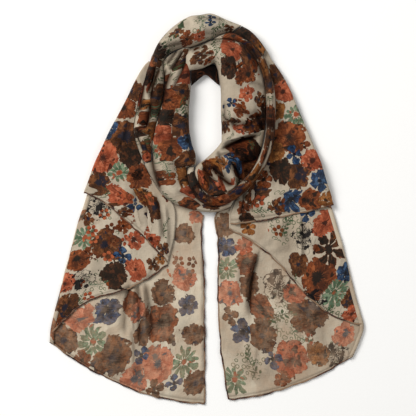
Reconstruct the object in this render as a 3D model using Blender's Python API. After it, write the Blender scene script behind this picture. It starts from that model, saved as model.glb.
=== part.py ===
"""A large muslin scarf, laid flat: folded into a long band, wound once into a loop
round an open neck hole, with both ends hanging side by side below the loop.

Frame: metres, +Z up, the scarf lies on z = 0. +Y runs from the hems to the neck and +X
to the viewer's right. The origin is the middle of the scarf's footprint.
The loop is a heap of hidden layers, so it is built as rounded folds on the surface.
Each end is three layers of cloth: the under layer is turned back on itself at its outer
edge, and the top layer is turned under at its own outer edge.
"""
import math
from collections import namedtuple

import bmesh
import bpy
from mathutils import Vector

MM = 0.001

# ---- driving sizes, mm
WALL = 1.4              # a layer of soft muslin with its crumple
LAYER_GAP = 0.5         # between two layers that lie on each other
EDGE_GAP = 1.5          # from the under layer's turned edge to the middle layer
SEAM = 0.4              # from a tail's inner edge to the loop beside it
FOLD_GAP = 0.25         # each loop fold keeps this far from the line it shares
UNDERCUT = 2.5          # how far the loop's folds round in at the surface below
TURN_BACK = 4.0         # how far the under layer's turned edge runs back inward
TURN_UNDER = 12.0       # how far the top layer's outer edge is turned under
UNDER_SLOPE = 14.0      # how fast the middle layer comes down from the turned edge
TOP_SLOPE = 22.0        # how fast the top layer comes down from its turned edge
TURN_SHARE = 0.45       # a turned edge takes at most this share of a narrow section
DOME_POWER = 2.4        # 2 is an ellipse, higher is a flatter top on a loop fold

# ---- how finely a section is stepped
UNDER_STEPS = 26
MIDDLE_STEPS = 16
TOP_STEPS = 15
TURN_STEPS = 5
PLAIN_FOLD_POINTS = 9
CREASED_FOLD_POINTS = 15
SMOOTH_ANGLE = math.radians(50)

# A section across a tail, from its folded outer edge to the edge along the loop or along
# the middle. bow and sway curve the section toward the hem, fold is the height of the
# turned outer edge and lift is what that edge lies on. All in mm.
TailRow = namedtuple("TailRow", "outer_x outer_y inner_x inner_y bow sway fold lift")

# A section across a fold of the loop: its two edges and the heights of the outer edge,
# the crest and the inner edge, in mm.
LoopRow = namedtuple("LoopRow", "outer_x outer_y inner_x inner_y outer_z crest_z inner_z")

# A soft ridge on a tail, from one end to the other. width is from its crest to its foot.
# All in mm.
Ridge = namedtuple("Ridge", "x0 y0 x1 y1 width height")

# A crease or roll along a fold of the loop. across runs 0 to 1 from the outer edge to the
# inner one at the start and at the end, width is in the same shares, height in mm.
Roll = namedtuple("Roll", "start_across end_across width height")

# ---- the loop, from the neck's back round to the knot at the front
TOP_BAND = [
    LoopRow(52, 274, 38, 264, 12, 22, 14),
    LoopRow(29, 283, 23, 261, 12, 31, 16),
    LoopRow(7, 292, 8, 254, 12, 38, 18),
    LoopRow(-10, 290, -6, 248, 12, 41, 19),
    LoopRow(-25, 288, -21, 242, 12, 42, 20),
    LoopRow(-52, 271, -39, 239, 12, 42, 20),
    LoopRow(-72, 249, -55, 232, 12, 38, 18),
    LoopRow(-82, 229, -66, 220, 10, 30, 14),
]
LEFT_OUTER_FOLDS = [
    LoopRow(-83, 227, -66, 219, 9, 27, 12),
    LoopRow(-91, 200, -64, 197, 9, 28, 12),
    LoopRow(-100, 170, -65, 172, 9, 28, 12),
    LoopRow(-106, 142, -70, 146, 9, 27, 12),
    LoopRow(-109, 116, -77, 121, 9, 26, 12),
    LoopRow(-103, 91, -82, 95, 9, 24, 12),
    LoopRow(-94, 69, -83, 72, 9, 18, 12),
]
LEFT_BAND = [
    LoopRow(-66, 219, -24, 240, 12, 24, 12),
    LoopRow(-64, 197, -25, 208, 12, 28, 10),
    LoopRow(-65, 172, -24, 180, 12, 30, 10),
    LoopRow(-70, 146, -26, 151, 12, 30, 10),
    LoopRow(-77, 121, -26, 122, 12, 30, 10),
    LoopRow(-82, 95, -22, 97, 12, 29, 10),
    LoopRow(-83, 71, -16, 77, 11, 28, 10),
    LoopRow(-93, 67, -17, 65, 9, 27, 10),
    LoopRow(-88, 56, -28, 63, 9, 27, 11),
    LoopRow(-79, 40, -29, 51, 9, 26, 12),
    LoopRow(-67, 22, -25, 33, 9, 25, 12),
    LoopRow(-52, 9, -19.5, 24, 9, 24, 12),
    LoopRow(-34, 2, -14, 15, 9, 22, 12),
    LoopRow(-11, -4, 2, 5, 9, 19, 12),
    LoopRow(16, -5, 23, 5, 9, 16, 12),
    LoopRow(36, 3, 41, 13.2, 9, 13, 11),
]
LEFT_BAND_TOP_BOW = 5.0     # its upper end curves up along the top band
RIM = [
    LoopRow(23, 260, 9, 253, 13, 20, 12),
    LoopRow(38, 263, 32, 253, 13, 24, 13),
    LoopRow(59, 252, 50, 248, 13, 27, 14),
    LoopRow(75, 240, 65, 235, 12, 29, 14),
    LoopRow(84, 229, 74, 223, 11, 30, 14),
    LoopRow(93, 208, 83, 203, 10, 31, 14),
    LoopRow(101, 178, 88, 177, 9, 32, 14),
    LoopRow(103, 148, 89, 149, 9, 32, 14),
    LoopRow(102, 118, 89, 122, 9, 32, 14),
    LoopRow(98, 91, 85, 97, 9, 32, 12),
    LoopRow(90, 69, 78, 76, 9, 32, 10),
    LoopRow(78, 48, 68, 58, 9, 31, 10),
    LoopRow(63, 30, 54, 42, 9, 30, 10),
    LoopRow(45, 15, 38, 28, 9, 28, 10),
    LoopRow(23, 5, 18, 19, 11, 26, 10),
    LoopRow(2, 5, 4, 19, 12, 26, 10),
    LoopRow(-14, 15, -7, 28, 12, 25, 10),
    LoopRow(-25, 33, -14, 42, 12, 22, 10),
    LoopRow(-29, 51, -19, 55, 12, 18, 10),
    LoopRow(-28, 62, -19, 63, 11, 14, 10),
]
RIGHT_BAND = [
    LoopRow(-22, 241, -23, 220, 12, 20, 10),
    LoopRow(-6, 247, -11, 216, 13, 28, 10),
    LoopRow(9, 253, 2, 216, 13, 32, 10),
    LoopRow(32, 253, 11, 216, 14, 34, 10),
    LoopRow(50, 248, 16, 208, 14, 35, 10),
    LoopRow(65, 235, 18, 196, 14, 35, 10),
    LoopRow(74, 223, 20, 184, 14, 35, 10),
    LoopRow(83, 203, 21, 170, 14, 34, 10),
    LoopRow(88, 177, 21, 157, 14, 33, 10),
    LoopRow(89, 149, 21, 140, 14, 32, 10),
    LoopRow(89, 122, 22, 122, 14, 30, 10),
    LoopRow(85, 98, 22, 107, 12, 26, 10),
]
FRONT_KNOT = [
    LoopRow(85, 97, 22, 106, 12, 24, 9),
    LoopRow(78, 76, 14, 91, 10, 20, 9),
    LoopRow(68, 58, 5, 81, 10, 18, 9),
    LoopRow(54, 42, -3, 74, 10, 17, 9),
    LoopRow(38, 28, -9, 70, 10, 17, 9),
    LoopRow(18, 19, -12, 68, 10, 16, 9),
    LoopRow(4, 19, -13, 67, 10, 16, 9),
    LoopRow(-7, 28, -14, 66, 10, 15, 9),
    LoopRow(-14, 42, -15, 65, 10, 14, 9),
    LoopRow(-18, 52, -16, 64, 10, 12, 9),
]
NECK_BACK = [
    LoopRow(-23, 219, -23, 184, 8, 13, 7),
    LoopRow(-11, 216, -11, 194, 8, 14, 7),
    LoopRow(2, 216, -1, 200, 8, 13, 7),
    LoopRow(11, 216, 7, 194, 8, 14, 7),
    LoopRow(16, 208, 14, 188, 8, 14, 7),
    LoopRow(17.2, 196, 19, 184, 8, 11, 7),
]
RIGHT_SHOULDER = [
    LoopRow(53, 273, 40, 262, 10, 21, 12),
    LoopRow(65, 266, 59, 252, 10, 23, 12),
    LoopRow(77, 254, 75, 240, 10, 21, 11),
    LoopRow(88, 239, 84, 229, 9, 17, 10),
]

TOP_BAND_ROLLS = [
    Roll(0.34, 0.22, 0.10, 3.5),
    Roll(0.62, 0.58, 0.09, 4.0),
]
LEFT_OUTER_ROLLS = [
    Roll(0.20, 0.22, 0.09, 4.5),
    Roll(0.50, 0.52, 0.09, 5.0),
    Roll(0.80, 0.80, 0.09, 4.0),
]
LEFT_BAND_ROLLS = [
    Roll(0.22, 0.30, 0.09, 4.0),
    Roll(0.50, 0.60, 0.09, 5.0),
    Roll(0.78, 0.82, 0.08, 3.5),
]
RIGHT_BAND_ROLLS = [
    Roll(0.70, 0.28, 0.09, 4.0),
    Roll(0.85, 0.55, 0.08, 4.5),
    Roll(0.92, 0.80, 0.07, 3.0),
]
FRONT_KNOT_ROLLS = [
    Roll(0.30, 0.35, 0.10, 5.0),
    Roll(0.66, 0.66, 0.10, 4.5),
]

# ---- the ends of the scarf, left then right, from the neck down to the hem
LEFT_UNDER = [
    TailRow(-98, 204, -90, 203, 0, 0, 3.8, 0),
    TailRow(-106, 187, -95, 187, 0, 0, 4.4, 0),
    TailRow(-114, 167, -100, 170, 0, 0, 5.0, 0),
    TailRow(-130, 138, -106, 142, 0, 0, 5.2, 0),
    TailRow(-143, 114, -109, 116, 0, 0, 5.2, 0),
    TailRow(-154, 90, -103, 91, 0, 0, 5.2, 0),
    TailRow(-163, 68, -94, 69, 0, 0, 5.0, 0),
    TailRow(-168, 56, -88, 56, 0, 0, 5.0, 0),
    TailRow(-173, 42, -79, 40, 0, 0, 5.0, 0),
    TailRow(-177, 28, -67, 22, 0, 0, 4.8, 0),
    TailRow(-181, 15, -52, 9, 0, 0, 4.8, 0),
    TailRow(-185, 2, -34, 2, 0, 0, 4.6, 0),
    TailRow(-190, -12, -11, -4, 0, 0, 4.6, 0),
    TailRow(-198, -40, -8, -35, 1, 0, 4.4, 0),
    TailRow(-205, -68, -6, -65, 2, 0, 4.4, 0),
    TailRow(-213, -96, -4, -104, 4, 0, 4.2, 0),
    TailRow(-220, -125, -3, -143, 6, 0, 4.2, 0),
    TailRow(-226, -147, -3, -180, 10, 0, 4.0, 0),
    TailRow(-231, -167, -3, -218, 14, 0, 4.0, 0),
    TailRow(-234, -183, -3, -255, 18, 0, 3.8, 0),
    TailRow(-235, -199, -3, -292, 22, 0, 3.8, 0),
]
LEFT_MIDDLE = [
    TailRow(-114, 167, -100, 170, 0, 0, 5.0, 0),
    TailRow(-130, 138, -106, 142, 0, 0, 5.2, 0),
    TailRow(-143, 114, -109, 116, 0, 0, 5.2, 0),
    TailRow(-154, 90, -103, 91, 0, 0, 5.2, 0),
    TailRow(-163, 68, -94, 69, 0, 0, 5.0, 0),
    TailRow(-168, 56, -88, 56, 0, 0, 5.0, 0),
    TailRow(-173, 42, -79, 40, 0, 0, 5.0, 0),
    TailRow(-177, 28, -67, 22, 0, 0, 4.8, 0),
    TailRow(-181, 15, -52, 9, 0, 0, 4.8, 0),
    TailRow(-190, -12, -46, -8, 0, 0, 4.6, 0),
    TailRow(-198, -40, -46, -22, -1, -1, 4.4, 0),
    TailRow(-205, -68, -47, -35, -2, -3, 4.4, 0),
    TailRow(-213, -98, -49, -49, -3, -4, 4.2, 0),
    TailRow(-220, -128, -52, -62, -4, -6, 4.2, 0),
    TailRow(-226, -156, -55, -73, -5, -7, 4.0, 0),
    TailRow(-232, -185, -58, -83, -7, -9, 4.0, 0),
]
LEFT_TOP = [
    TailRow(-96, 212, -88, 210, 0, 0, 4.2, 3.8),
    TailRow(-107, 192, -93, 192, 0, 0, 4.8, 4.3),
    TailRow(-118, 169, -100, 170, 0, 0, 5.2, 5),
    TailRow(-134, 138, -106, 142, 0, 0, 5.6, 5.2),
    TailRow(-147, 114, -109, 116, 0, 0, 5.6, 5.2),
    TailRow(-158, 90, -103, 91, 0, 0, 5.6, 5.2),
    TailRow(-168, 69, -94, 69, 0, 0, 5.4, 5),
    TailRow(-172, 58, -88, 56, 0, 0, 5.4, 5),
    TailRow(-176, 46, -79, 40, -2, 0, 5.2, 5),
    TailRow(-179, 38, -67, 22, -4, 0, 5.2, 5),
    TailRow(-181, 33, -52, 9, -7, 0, 5.2, 4.9),
    TailRow(-183, 28, -48, -35, -9, -1, 5.0, 4.9),
    TailRow(-184, 24, -58, -80, -11, -2, 4.8, 4.9),
]
RIGHT_UNDER = [
    TailRow(92, 226, 86, 224, 0, 0, 3.6, 0),
    TailRow(106, 203, 93, 208, 0, 0, 4.4, 0),
    TailRow(119, 177, 101, 178, 0, 0, 5.0, 0),
    TailRow(134, 145, 103, 148, 0, 0, 5.2, 0),
    TailRow(146, 116, 102, 118, 0, 0, 5.2, 0),
    TailRow(157, 90, 98, 91, 0, 0, 5.2, 0),
    TailRow(167, 68, 90, 69, 0, 0, 5.0, 0),
    TailRow(174, 44, 78, 48, 0, 0, 5.0, 0),
    TailRow(179, 28, 63, 30, 0, 0, 4.8, 0),
    TailRow(184, 10, 45, 15, 0, 0, 4.8, 0),
    TailRow(190, -8, 36, 3, 0, 0, 4.8, 0),
    TailRow(197, -32, 16, -5, 0, 0, 4.6, 0),
    TailRow(204, -56, 16, -43, 1, 0, 4.4, 0),
    TailRow(210, -80, 17, -80, 2, 0, 4.4, 0),
    TailRow(217, -107, 17, -116, 3, 0, 4.2, 0),
    TailRow(224, -134, 17, -152, 5, 0, 4.2, 0),
    TailRow(230, -156, 19, -187, 8, 0, 4.0, 0),
    TailRow(235, -178, 22, -221, 10, 0, 4.0, 0),
    TailRow(228, -200, 27, -254, 12, 0, 3.8, 0),
    TailRow(219, -221, 32, -286, 13, 0, 3.6, 0),
]
RIGHT_MIDDLE = [
    TailRow(119, 177, 101, 178, 0, 0, 5.0, 0),
    TailRow(134, 145, 103, 148, 0, 0, 5.2, 0),
    TailRow(146, 116, 102, 118, 0, 0, 5.2, 0),
    TailRow(157, 90, 98, 91, 0, 0, 5.2, 0),
    TailRow(167, 68, 90, 69, 0, 0, 5.0, 0),
    TailRow(174, 44, 78, 48, 0, 0, 5.0, 0),
    TailRow(179, 28, 63, 30, 0, 0, 4.8, 0),
    TailRow(184, 10, 45, 15, 0, 0, 4.8, 0),
    TailRow(190, -8, 36, 3, 0, 0, 4.8, 0),
    TailRow(197, -32, 34, -1, 0, 2, 4.6, 0),
    TailRow(207, -68, 33, -8, 2, 5, 4.4, 0),
    TailRow(216, -104, 33, -14, 4, 8, 4.2, 0),
    TailRow(225, -139, 33, -22, 6, 11, 4.2, 0),
    TailRow(233, -173, 33, -30, 9, 13, 4.0, 0),
]
RIGHT_TOP = [
    TailRow(94, 228, 85.5, 226, 0, 0, 4.4, 3.6),
    TailRow(110, 205, 93, 208, 0, 0, 4.8, 4.4),
    TailRow(124, 180, 101, 178, 0, 0, 5.4, 5),
    TailRow(138, 147, 103, 148, 0, 0, 5.6, 5.2),
    TailRow(150, 119, 102, 118, 0, 0, 5.6, 5.2),
    TailRow(161, 93, 98, 91, 0, 0, 5.6, 5.2),
    TailRow(171, 70, 90, 69, 0, 0, 5.4, 5),
    TailRow(178, 46, 78, 48, 0, 0, 5.4, 5),
    TailRow(183, 31, 63, 30, 0, 0, 5.2, 4.8),
    TailRow(187, 19, 45, 15, 0, 0, 5.2, 4.8),
    TailRow(188, 13, 37, -5, 2, 0, 5.0, 4.8),
    TailRow(190, 7, 35, -23, 4, 0, 4.8, 4.8),
]

LEFT_UNDER_RIDGES = [
    Ridge(-102, -136, -119, -214, 16, 5),
    Ridge(-87, -134, -84, -246, 16, 4.5),
    Ridge(-27, -70, -26, -210, 16, 3),
    Ridge(-150, -165, -172, -222, 18, 2.5),
]
LEFT_MIDDLE_RIDGES = [
    Ridge(-150, -22, -188, -120, 18, 3.5),
    Ridge(-112, -48, -140, -108, 18, 3),
]
LEFT_TOP_RIDGES = [
    Ridge(-128, 92, -138, 30, 16, 3),
    Ridge(-92, 22, -98, -24, 16, 3),
]
RIGHT_UNDER_RIDGES = [
    Ridge(73, -76, 65, -246, 16, 4.5),
    Ridge(128, -130, 140, -236, 18, 3),
    Ridge(38, -90, 42, -220, 16, 2.5),
]
RIGHT_MIDDLE_RIDGES = [
    Ridge(150, -30, 196, -118, 18, 3.5),
    Ridge(96, -28, 112, -66, 16, 3),
]
RIGHT_TOP_RIDGES = [
    Ridge(134, 78, 150, 20, 16, 3),
    Ridge(82, 30, 72, -4, 14, 3),
]

# ---- cloth finishes: colour and roughness
PRINTED_SIDE = ("muslin_printed_side", (0.50, 0.33, 0.22, 1.0), 0.9)
FADED_SIDE = ("muslin_faded_side", (0.55, 0.45, 0.37, 1.0), 0.92)


def clear_scene():
    """Start from an empty scene."""
    for item in list(bpy.data.objects):
        bpy.data.objects.remove(item, do_unlink=True)


def cloth_material(finish):
    """The material of a finish, made once."""
    name, colour, roughness = finish
    material = bpy.data.materials.get(name)
    if material:
        return material
    material = bpy.data.materials.new(name)
    material.use_nodes = True
    shader = material.node_tree.nodes["Principled BSDF"]
    shader.inputs["Base Color"].default_value = colour
    shader.inputs["Roughness"].default_value = roughness
    shader.inputs["Metallic"].default_value = 0.0
    material.diffuse_color = colour
    return material


def section_line(row):
    """A row's outer point, the direction to its inner point and the distance, in mm."""
    outer = Vector((row.outer_x, row.outer_y))
    inner = Vector((row.inner_x, row.inner_y))
    width = (inner - outer).length
    return outer, (inner - outer) / width, width


def finish_object(name, bm, finish):
    """Turn a bmesh in mm into a named, smooth shaded object in metres."""
    bmesh.ops.scale(bm, vec=(MM, MM, MM), verts=bm.verts)
    mesh = bpy.data.meshes.new(name)
    bm.to_mesh(mesh)
    bm.free()
    mesh.shade_smooth()
    mesh.set_sharp_from_angle(angle=SMOOTH_ANGLE)
    piece = bpy.data.objects.new(name, mesh)
    piece.data.materials.append(cloth_material(finish))
    bpy.context.collection.objects.link(piece)
    return piece


def section_slant(rows, index):
    """How much longer a section is than the straight way in from its outer edge."""
    before = rows[max(index - 1, 0)]
    after = rows[min(index + 1, len(rows) - 1)]
    edge = Vector((after.outer_x - before.outer_x, after.outer_y - before.outer_y)).normalized()
    outer, inward, width = section_line(rows[index])
    return 1 / abs(edge.cross(inward))


# ---- the ends of the scarf

def turn_back_length(width, radius):
    """How far the under layer's turned edge runs back, less on a narrow section."""
    return min(TURN_BACK, TURN_SHARE * (width - radius))


def half_turn(radius, floor, rising):
    """The rounded outer edge of a fold: distance from the outline and height."""
    points = []
    for step in range(TURN_STEPS + 1):
        angle = math.pi * (step / TURN_STEPS - 0.5)
        if not rising:
            angle = -angle
        distance = radius * (1 - math.cos(angle))
        points.append((distance, floor + radius * (1 + math.sin(angle))))
    return points


def run_outward(width, end, steps, height_at):
    """Even steps from the inner edge out to a distance from the outline."""
    start = width - SEAM
    places = [start + (end - start) * step / steps for step in range(steps)]
    return [(place, height_at(place)) for place in places]


def under_section(row, width):
    """The underside of the bottom layer, then round its turned edge and back on top."""
    radius = row.fold / 2
    back = radius + turn_back_length(width, radius)
    flat = run_outward(width, radius, UNDER_STEPS, lambda place: 0.0)
    return flat + half_turn(radius, 0.0, rising=True) + [(back, row.fold)]


def middle_section(row, width):
    """The top of the middle layer. It starts where the turned edge below it ends."""
    radius = row.fold / 2
    start = radius + turn_back_length(width, radius) + EDGE_GAP
    resting = 2 * WALL + LAYER_GAP
    rise = row.fold - resting

    def height_at(place):
        return resting + rise * math.exp(-((place - start) / UNDER_SLOPE) ** 2)

    return run_outward(width, start, MIDDLE_STEPS, height_at) + [(start, row.fold)]


def top_section(row, width):
    """The top of the upper layer, then round its outer edge and back underneath."""
    radius = row.fold / 2
    floor = row.lift + LAYER_GAP
    resting = 3 * WALL + 2 * LAYER_GAP
    rise = floor + row.fold - resting
    back = radius + min(TURN_UNDER, TURN_SHARE * (width - radius))

    def height_at(place):
        return resting + rise * math.exp(-((place - radius) / TOP_SLOPE) ** 2)

    flat = run_outward(width, radius, TOP_STEPS, height_at)
    return flat + half_turn(radius, floor, rising=False) + [(back, floor)]


def ridge_height(ridges, x, y):
    """The height of the soft ridges at a place. Each fades out toward its two ends."""
    total = 0.0
    for ridge in ridges:
        start = Vector((ridge.x0, ridge.y0))
        run = Vector((ridge.x1, ridge.y1)) - start
        offset = Vector((x, y)) - start
        along = offset.dot(run) / run.length_squared
        aside = (offset - run * along).length / ridge.width
        if 0.0 < along < 1.0 and aside < 1.0:
            crest = ridge.height * math.sin(math.pi * along)
            total += crest * (1 + math.cos(math.pi * aside)) / 2
    return total


def tail_layer(name, rows, section, ridges, outside, finish):
    """One layer of an end of the scarf: a cloth wall through its rows.

    outside is +1 where the modelled face is the upper one and -1 where it is the lower.
    """
    row_steps = len(rows) - 1
    sections = []
    for index, row in enumerate(rows):
        outer, inward, width = section_line(row)
        slant = section_slant(rows, index)
        points = []
        for distance, height in section(row, width / slant):
            place = outer + inward * distance * slant
            share = distance * slant / width
            toward_hem = 4 * share * (1 - share) * row.bow + math.sin(math.tau * share) * row.sway
            y = place.y - toward_hem
            points.append((place.x, y, height + ridge_height(ridges, place.x, y)))
        sections.append(points)
    across = len(sections[0]) - 1
    bm = bmesh.new()
    bmesh.ops.create_grid(bm, x_segments=across, y_segments=row_steps, size=0.5)
    for vert in bm.verts:
        column = round((vert.co.x + 0.5) * across)
        line = round((vert.co.y + 0.5) * row_steps)
        vert.co = sections[line][column]
    bm.normal_update()
    bm.faces.ensure_lookup_table()
    if sum(face.normal.z * face.calc_area() for face in bm.faces) * outside < 0:
        bmesh.ops.reverse_faces(bm, faces=bm.faces)
    piece = finish_object(name, bm, finish)
    wall = piece.modifiers.new("cloth wall", "SOLIDIFY")
    wall.thickness = WALL * MM
    wall.offset = -1.0
    wall.use_even_offset = True
    return piece


# ---- the loop

def dome_height(row, across, rolls, along):
    """The height of a loop fold's upper side at a share of its width and its length."""
    edge = row.outer_z + (row.inner_z - row.outer_z) * across
    swell = (1 - abs(2 * across - 1) ** DOME_POWER) ** (1 / DOME_POWER)
    height = edge + (row.crest_z - edge) * swell
    for roll in rolls:
        centre = roll.start_across + (roll.end_across - roll.start_across) * along
        shape = math.exp(-((across - centre) / roll.width) ** 2)
        height += roll.height * shape * math.sin(math.pi * along) ** 0.5 * swell
    return height


def loop_section(row, dome_points, rolls, along, bow):
    """A closed section of a loop fold: two points on the surface below, then the dome."""
    outer, inward, width = section_line(row)
    profile = [
        (width - FOLD_GAP - UNDERCUT, 0.0),
        (FOLD_GAP + UNDERCUT, 0.0),
    ]
    for index in range(dome_points):
        across = (1 - math.cos(math.pi * index / (dome_points - 1))) / 2
        distance = FOLD_GAP + (width - 2 * FOLD_GAP) * across
        profile.append((distance, dome_height(row, across, rolls, along)))
    points = []
    for distance, height in profile:
        place = outer + inward * distance
        share = distance / width
        points.append((place.x, place.y + 4 * share * (1 - share) * bow, height))
    return points


def loop_fold(name, rows, rolls=(), start_bow=0.0):
    """One fold of the loop: a rounded closed solid through its rows."""
    dome_points = CREASED_FOLD_POINTS if rolls else PLAIN_FOLD_POINTS
    row_steps = len(rows) - 1
    sections = []
    for index, row in enumerate(rows):
        along = index / row_steps
        bow = start_bow if index == 0 else 0.0
        sections.append(loop_section(row, dome_points, rolls, along, bow))
    around = len(sections[0])
    bm = bmesh.new()
    bmesh.ops.create_grid(bm, x_segments=around, y_segments=row_steps, size=0.5)
    for vert in bm.verts:
        column = round((vert.co.x + 0.5) * around) % around
        line = round((vert.co.y + 0.5) * row_steps)
        vert.co = sections[line][column]
    bmesh.ops.remove_doubles(bm, verts=bm.verts, dist=0.01)
    open_edges = [edge for edge in bm.edges if edge.is_boundary]
    bmesh.ops.holes_fill(bm, edges=open_edges, sides=0)
    bmesh.ops.recalc_face_normals(bm, faces=bm.faces)
    return finish_object(name, bm, PRINTED_SIDE)


def build_tails():
    """The two ends of the scarf, three layers each."""
    tail_layer("left_tail_under", LEFT_UNDER, under_section, LEFT_UNDER_RIDGES, -1, FADED_SIDE)
    tail_layer("left_tail_middle", LEFT_MIDDLE, middle_section, LEFT_MIDDLE_RIDGES, 1, PRINTED_SIDE)
    tail_layer("left_tail_top", LEFT_TOP, top_section, LEFT_TOP_RIDGES, 1, PRINTED_SIDE)
    tail_layer("right_tail_under", RIGHT_UNDER, under_section, RIGHT_UNDER_RIDGES, -1, FADED_SIDE)
    tail_layer("right_tail_middle", RIGHT_MIDDLE, middle_section, RIGHT_MIDDLE_RIDGES, 1, PRINTED_SIDE)
    tail_layer("right_tail_top", RIGHT_TOP, top_section, RIGHT_TOP_RIDGES, 1, PRINTED_SIDE)


def build_loop():
    """The loop round the neck hole, a solid for each fold that shows."""
    loop_fold("loop_top_band", TOP_BAND, TOP_BAND_ROLLS)
    loop_fold("loop_left_outer_folds", LEFT_OUTER_FOLDS, LEFT_OUTER_ROLLS)
    loop_fold("loop_left_band", LEFT_BAND, LEFT_BAND_ROLLS, LEFT_BAND_TOP_BOW)
    loop_fold("loop_rim", RIM)
    loop_fold("loop_right_band", RIGHT_BAND, RIGHT_BAND_ROLLS)
    loop_fold("loop_front_knot", FRONT_KNOT, FRONT_KNOT_ROLLS)
    loop_fold("loop_neck_back", NECK_BACK)
    loop_fold("loop_right_shoulder", RIGHT_SHOULDER)


def main():
    clear_scene()
    build_tails()
    build_loop()


main()
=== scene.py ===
"""A large muslin scarf with a floral print, laid flat: wound once into a loop round an
open neck hole, with both ends side by side below it.

Every stretch of cloth that shows is a thin sheet on the form of its own solid in the
frame. Sizes in the tables are millimetres in the frame's own axes: +X to the viewer's
right, +Y toward the neck and +Z up from the surface that the scarf lies on.
"""

import math
from collections import namedtuple

import bmesh
import bpy
import numpy as np
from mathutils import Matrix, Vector


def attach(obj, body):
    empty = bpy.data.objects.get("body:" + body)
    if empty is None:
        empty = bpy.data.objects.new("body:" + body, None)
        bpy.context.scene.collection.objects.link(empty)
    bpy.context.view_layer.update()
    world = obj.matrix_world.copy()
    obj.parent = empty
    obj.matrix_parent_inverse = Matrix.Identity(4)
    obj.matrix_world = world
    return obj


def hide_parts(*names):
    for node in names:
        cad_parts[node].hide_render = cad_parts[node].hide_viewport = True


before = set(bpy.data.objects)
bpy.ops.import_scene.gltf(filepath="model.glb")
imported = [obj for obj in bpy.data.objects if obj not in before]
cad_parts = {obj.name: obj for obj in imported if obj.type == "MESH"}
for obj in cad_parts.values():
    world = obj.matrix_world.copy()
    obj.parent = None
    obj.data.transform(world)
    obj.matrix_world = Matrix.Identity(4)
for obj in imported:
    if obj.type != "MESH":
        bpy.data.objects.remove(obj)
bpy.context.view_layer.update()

bl_info = {
    "name": "Muslin scarf",
    "version": (1, 0, 0),
    "blender": (4, 5, 0),
    "location": "View3D > Sidebar > Scarf",
    "description": "Sheets of printed muslin, their hems and a plain stage",
    "category": "Object",
}

MM = 0.001

# ---- the cloth, mm
CLOTH = 0.45            # the sheet's own thickness
FLOOR_GAP = 0.3         # the lowest cloth above the surface below
FINE_STEP = 2.0         # from one point of a sheet to the next
FOLD_GAP = 0.25         # from a loop sheet to the line it shares with the next
TUCK = 6.0              # how far a loop sheet runs on underneath
SIDE_ROUND = 5.0        # how far a loop sheet's side curves in at the bottom
SIDE_SHARE = 0.2        # but no more than this share of a narrow fold
DOME_POWER = 2.0        # 2 is an ellipse, higher is a flatter top
SEAM = 0.4              # from a tail's inner edge to the loop beside it
WALL = 1.4              # a layer with its crumple
LAYER_GAP = 0.5
TURN_BACK = 4.0         # how far the under layer's turned edge runs back
TURN_UNDER = 12.0       # how far the top layer's outer edge is turned under
TURN_SHARE = 0.45
UNDER_SLOPE = 14.0
TOP_SLOPE = 22.0
UNDER_DROP = 0.6        # the turned edge keeps this far below the layer on it
FOLD_PATH_STEPS = 14    # straight pieces in the path of a curved fold
FOLD_FADE = 0.22        # share of a fold's length over which each end dies out
CREST_POWER = 1.7       # a crest is round, and a groove has a sharp bottom
CREASE_BOTTOM = 0.5     # how round the bottom of a groove is
HIDDEN_CLOTH = 2.0      # cloth lost in a groove, for each millimetre of its depth
HIDDEN_REACH = 9.0      # how far from a groove the print is moved, mm
HIDDEN_STEP = 0.8       # how suddenly the print jumps there
PAINTED_SHADE_DEPTH = 8.0    # painted shade is darkest in a groove this deep, mm
SIDE_PAINTED_SHADE = 0.6     # and this much painted shade along the sides of the loop's folds
END_SHIFT = 0.25        # the ends are gathered less tightly than the loop
LAYER_ORDER = {"under": 0, "middle": 1, "top": 2}
STITCH_TONE = 0.5       # how dark the line of stitches along a hem is
STITCH_FROM_EDGE = 4.5  # mm
STITCH_WIDTH = 1.3

NOISE_TILE = 61         # the noise repeats after this many cells
WAVE = 6.0              # how far the creases wander
WAVE_SIZE = (34, 46)    # the size of the noise across and along the cloth, for the wave
LONG_SIZE = (13, 52)    # for the long creases
SHORT_SIZE = (7, 17)    # and for the short ones
LONG_CREASE = 0.75      # height of the creases that run along the cloth
SHORT_CREASE = 0.3
CRUMPLE_LIFT = 0.2      # added to the height of the ends, for their creases
END_STRETCH = 0.8       # the ends' creases are a little longer
TUCK_STEPS = 2
SIDE_STEPS = 6
MIN_DOME_STEPS = 8
DOME_STRETCH = 1.5      # more points where the dome turns down at its sides
LEFT_BAND_TOP_BOW = 5.0 # the left band ends in a curve up along the top band
BOW_FADE = 20.0         # how far a bowed end reaches along its fold
MIDDLE_ROUND = 2.0      # the middle layer's rounded outer edge
HEM_RADIUS = 0.85
HEM_VARIES = 0.25
HEM_BUMPS = 5.0         # from one thick place of a hem to the next
HEM_WAVES = 9.0         # and from one bend to the next
SAME_POINT = 0.01
HEM_FLAT = 1.25         # a hem is wider than it is high
HEM_SIDES = 8
HEM_WOBBLE = 1.0
HEM_LIFT = 0.35
HEM_SEED = 31
TAIL_SEED = {"left": 41, "right": 47}
INNER_EDGE_FROM = {"left": 0.52, "right": 0.48}

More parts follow.
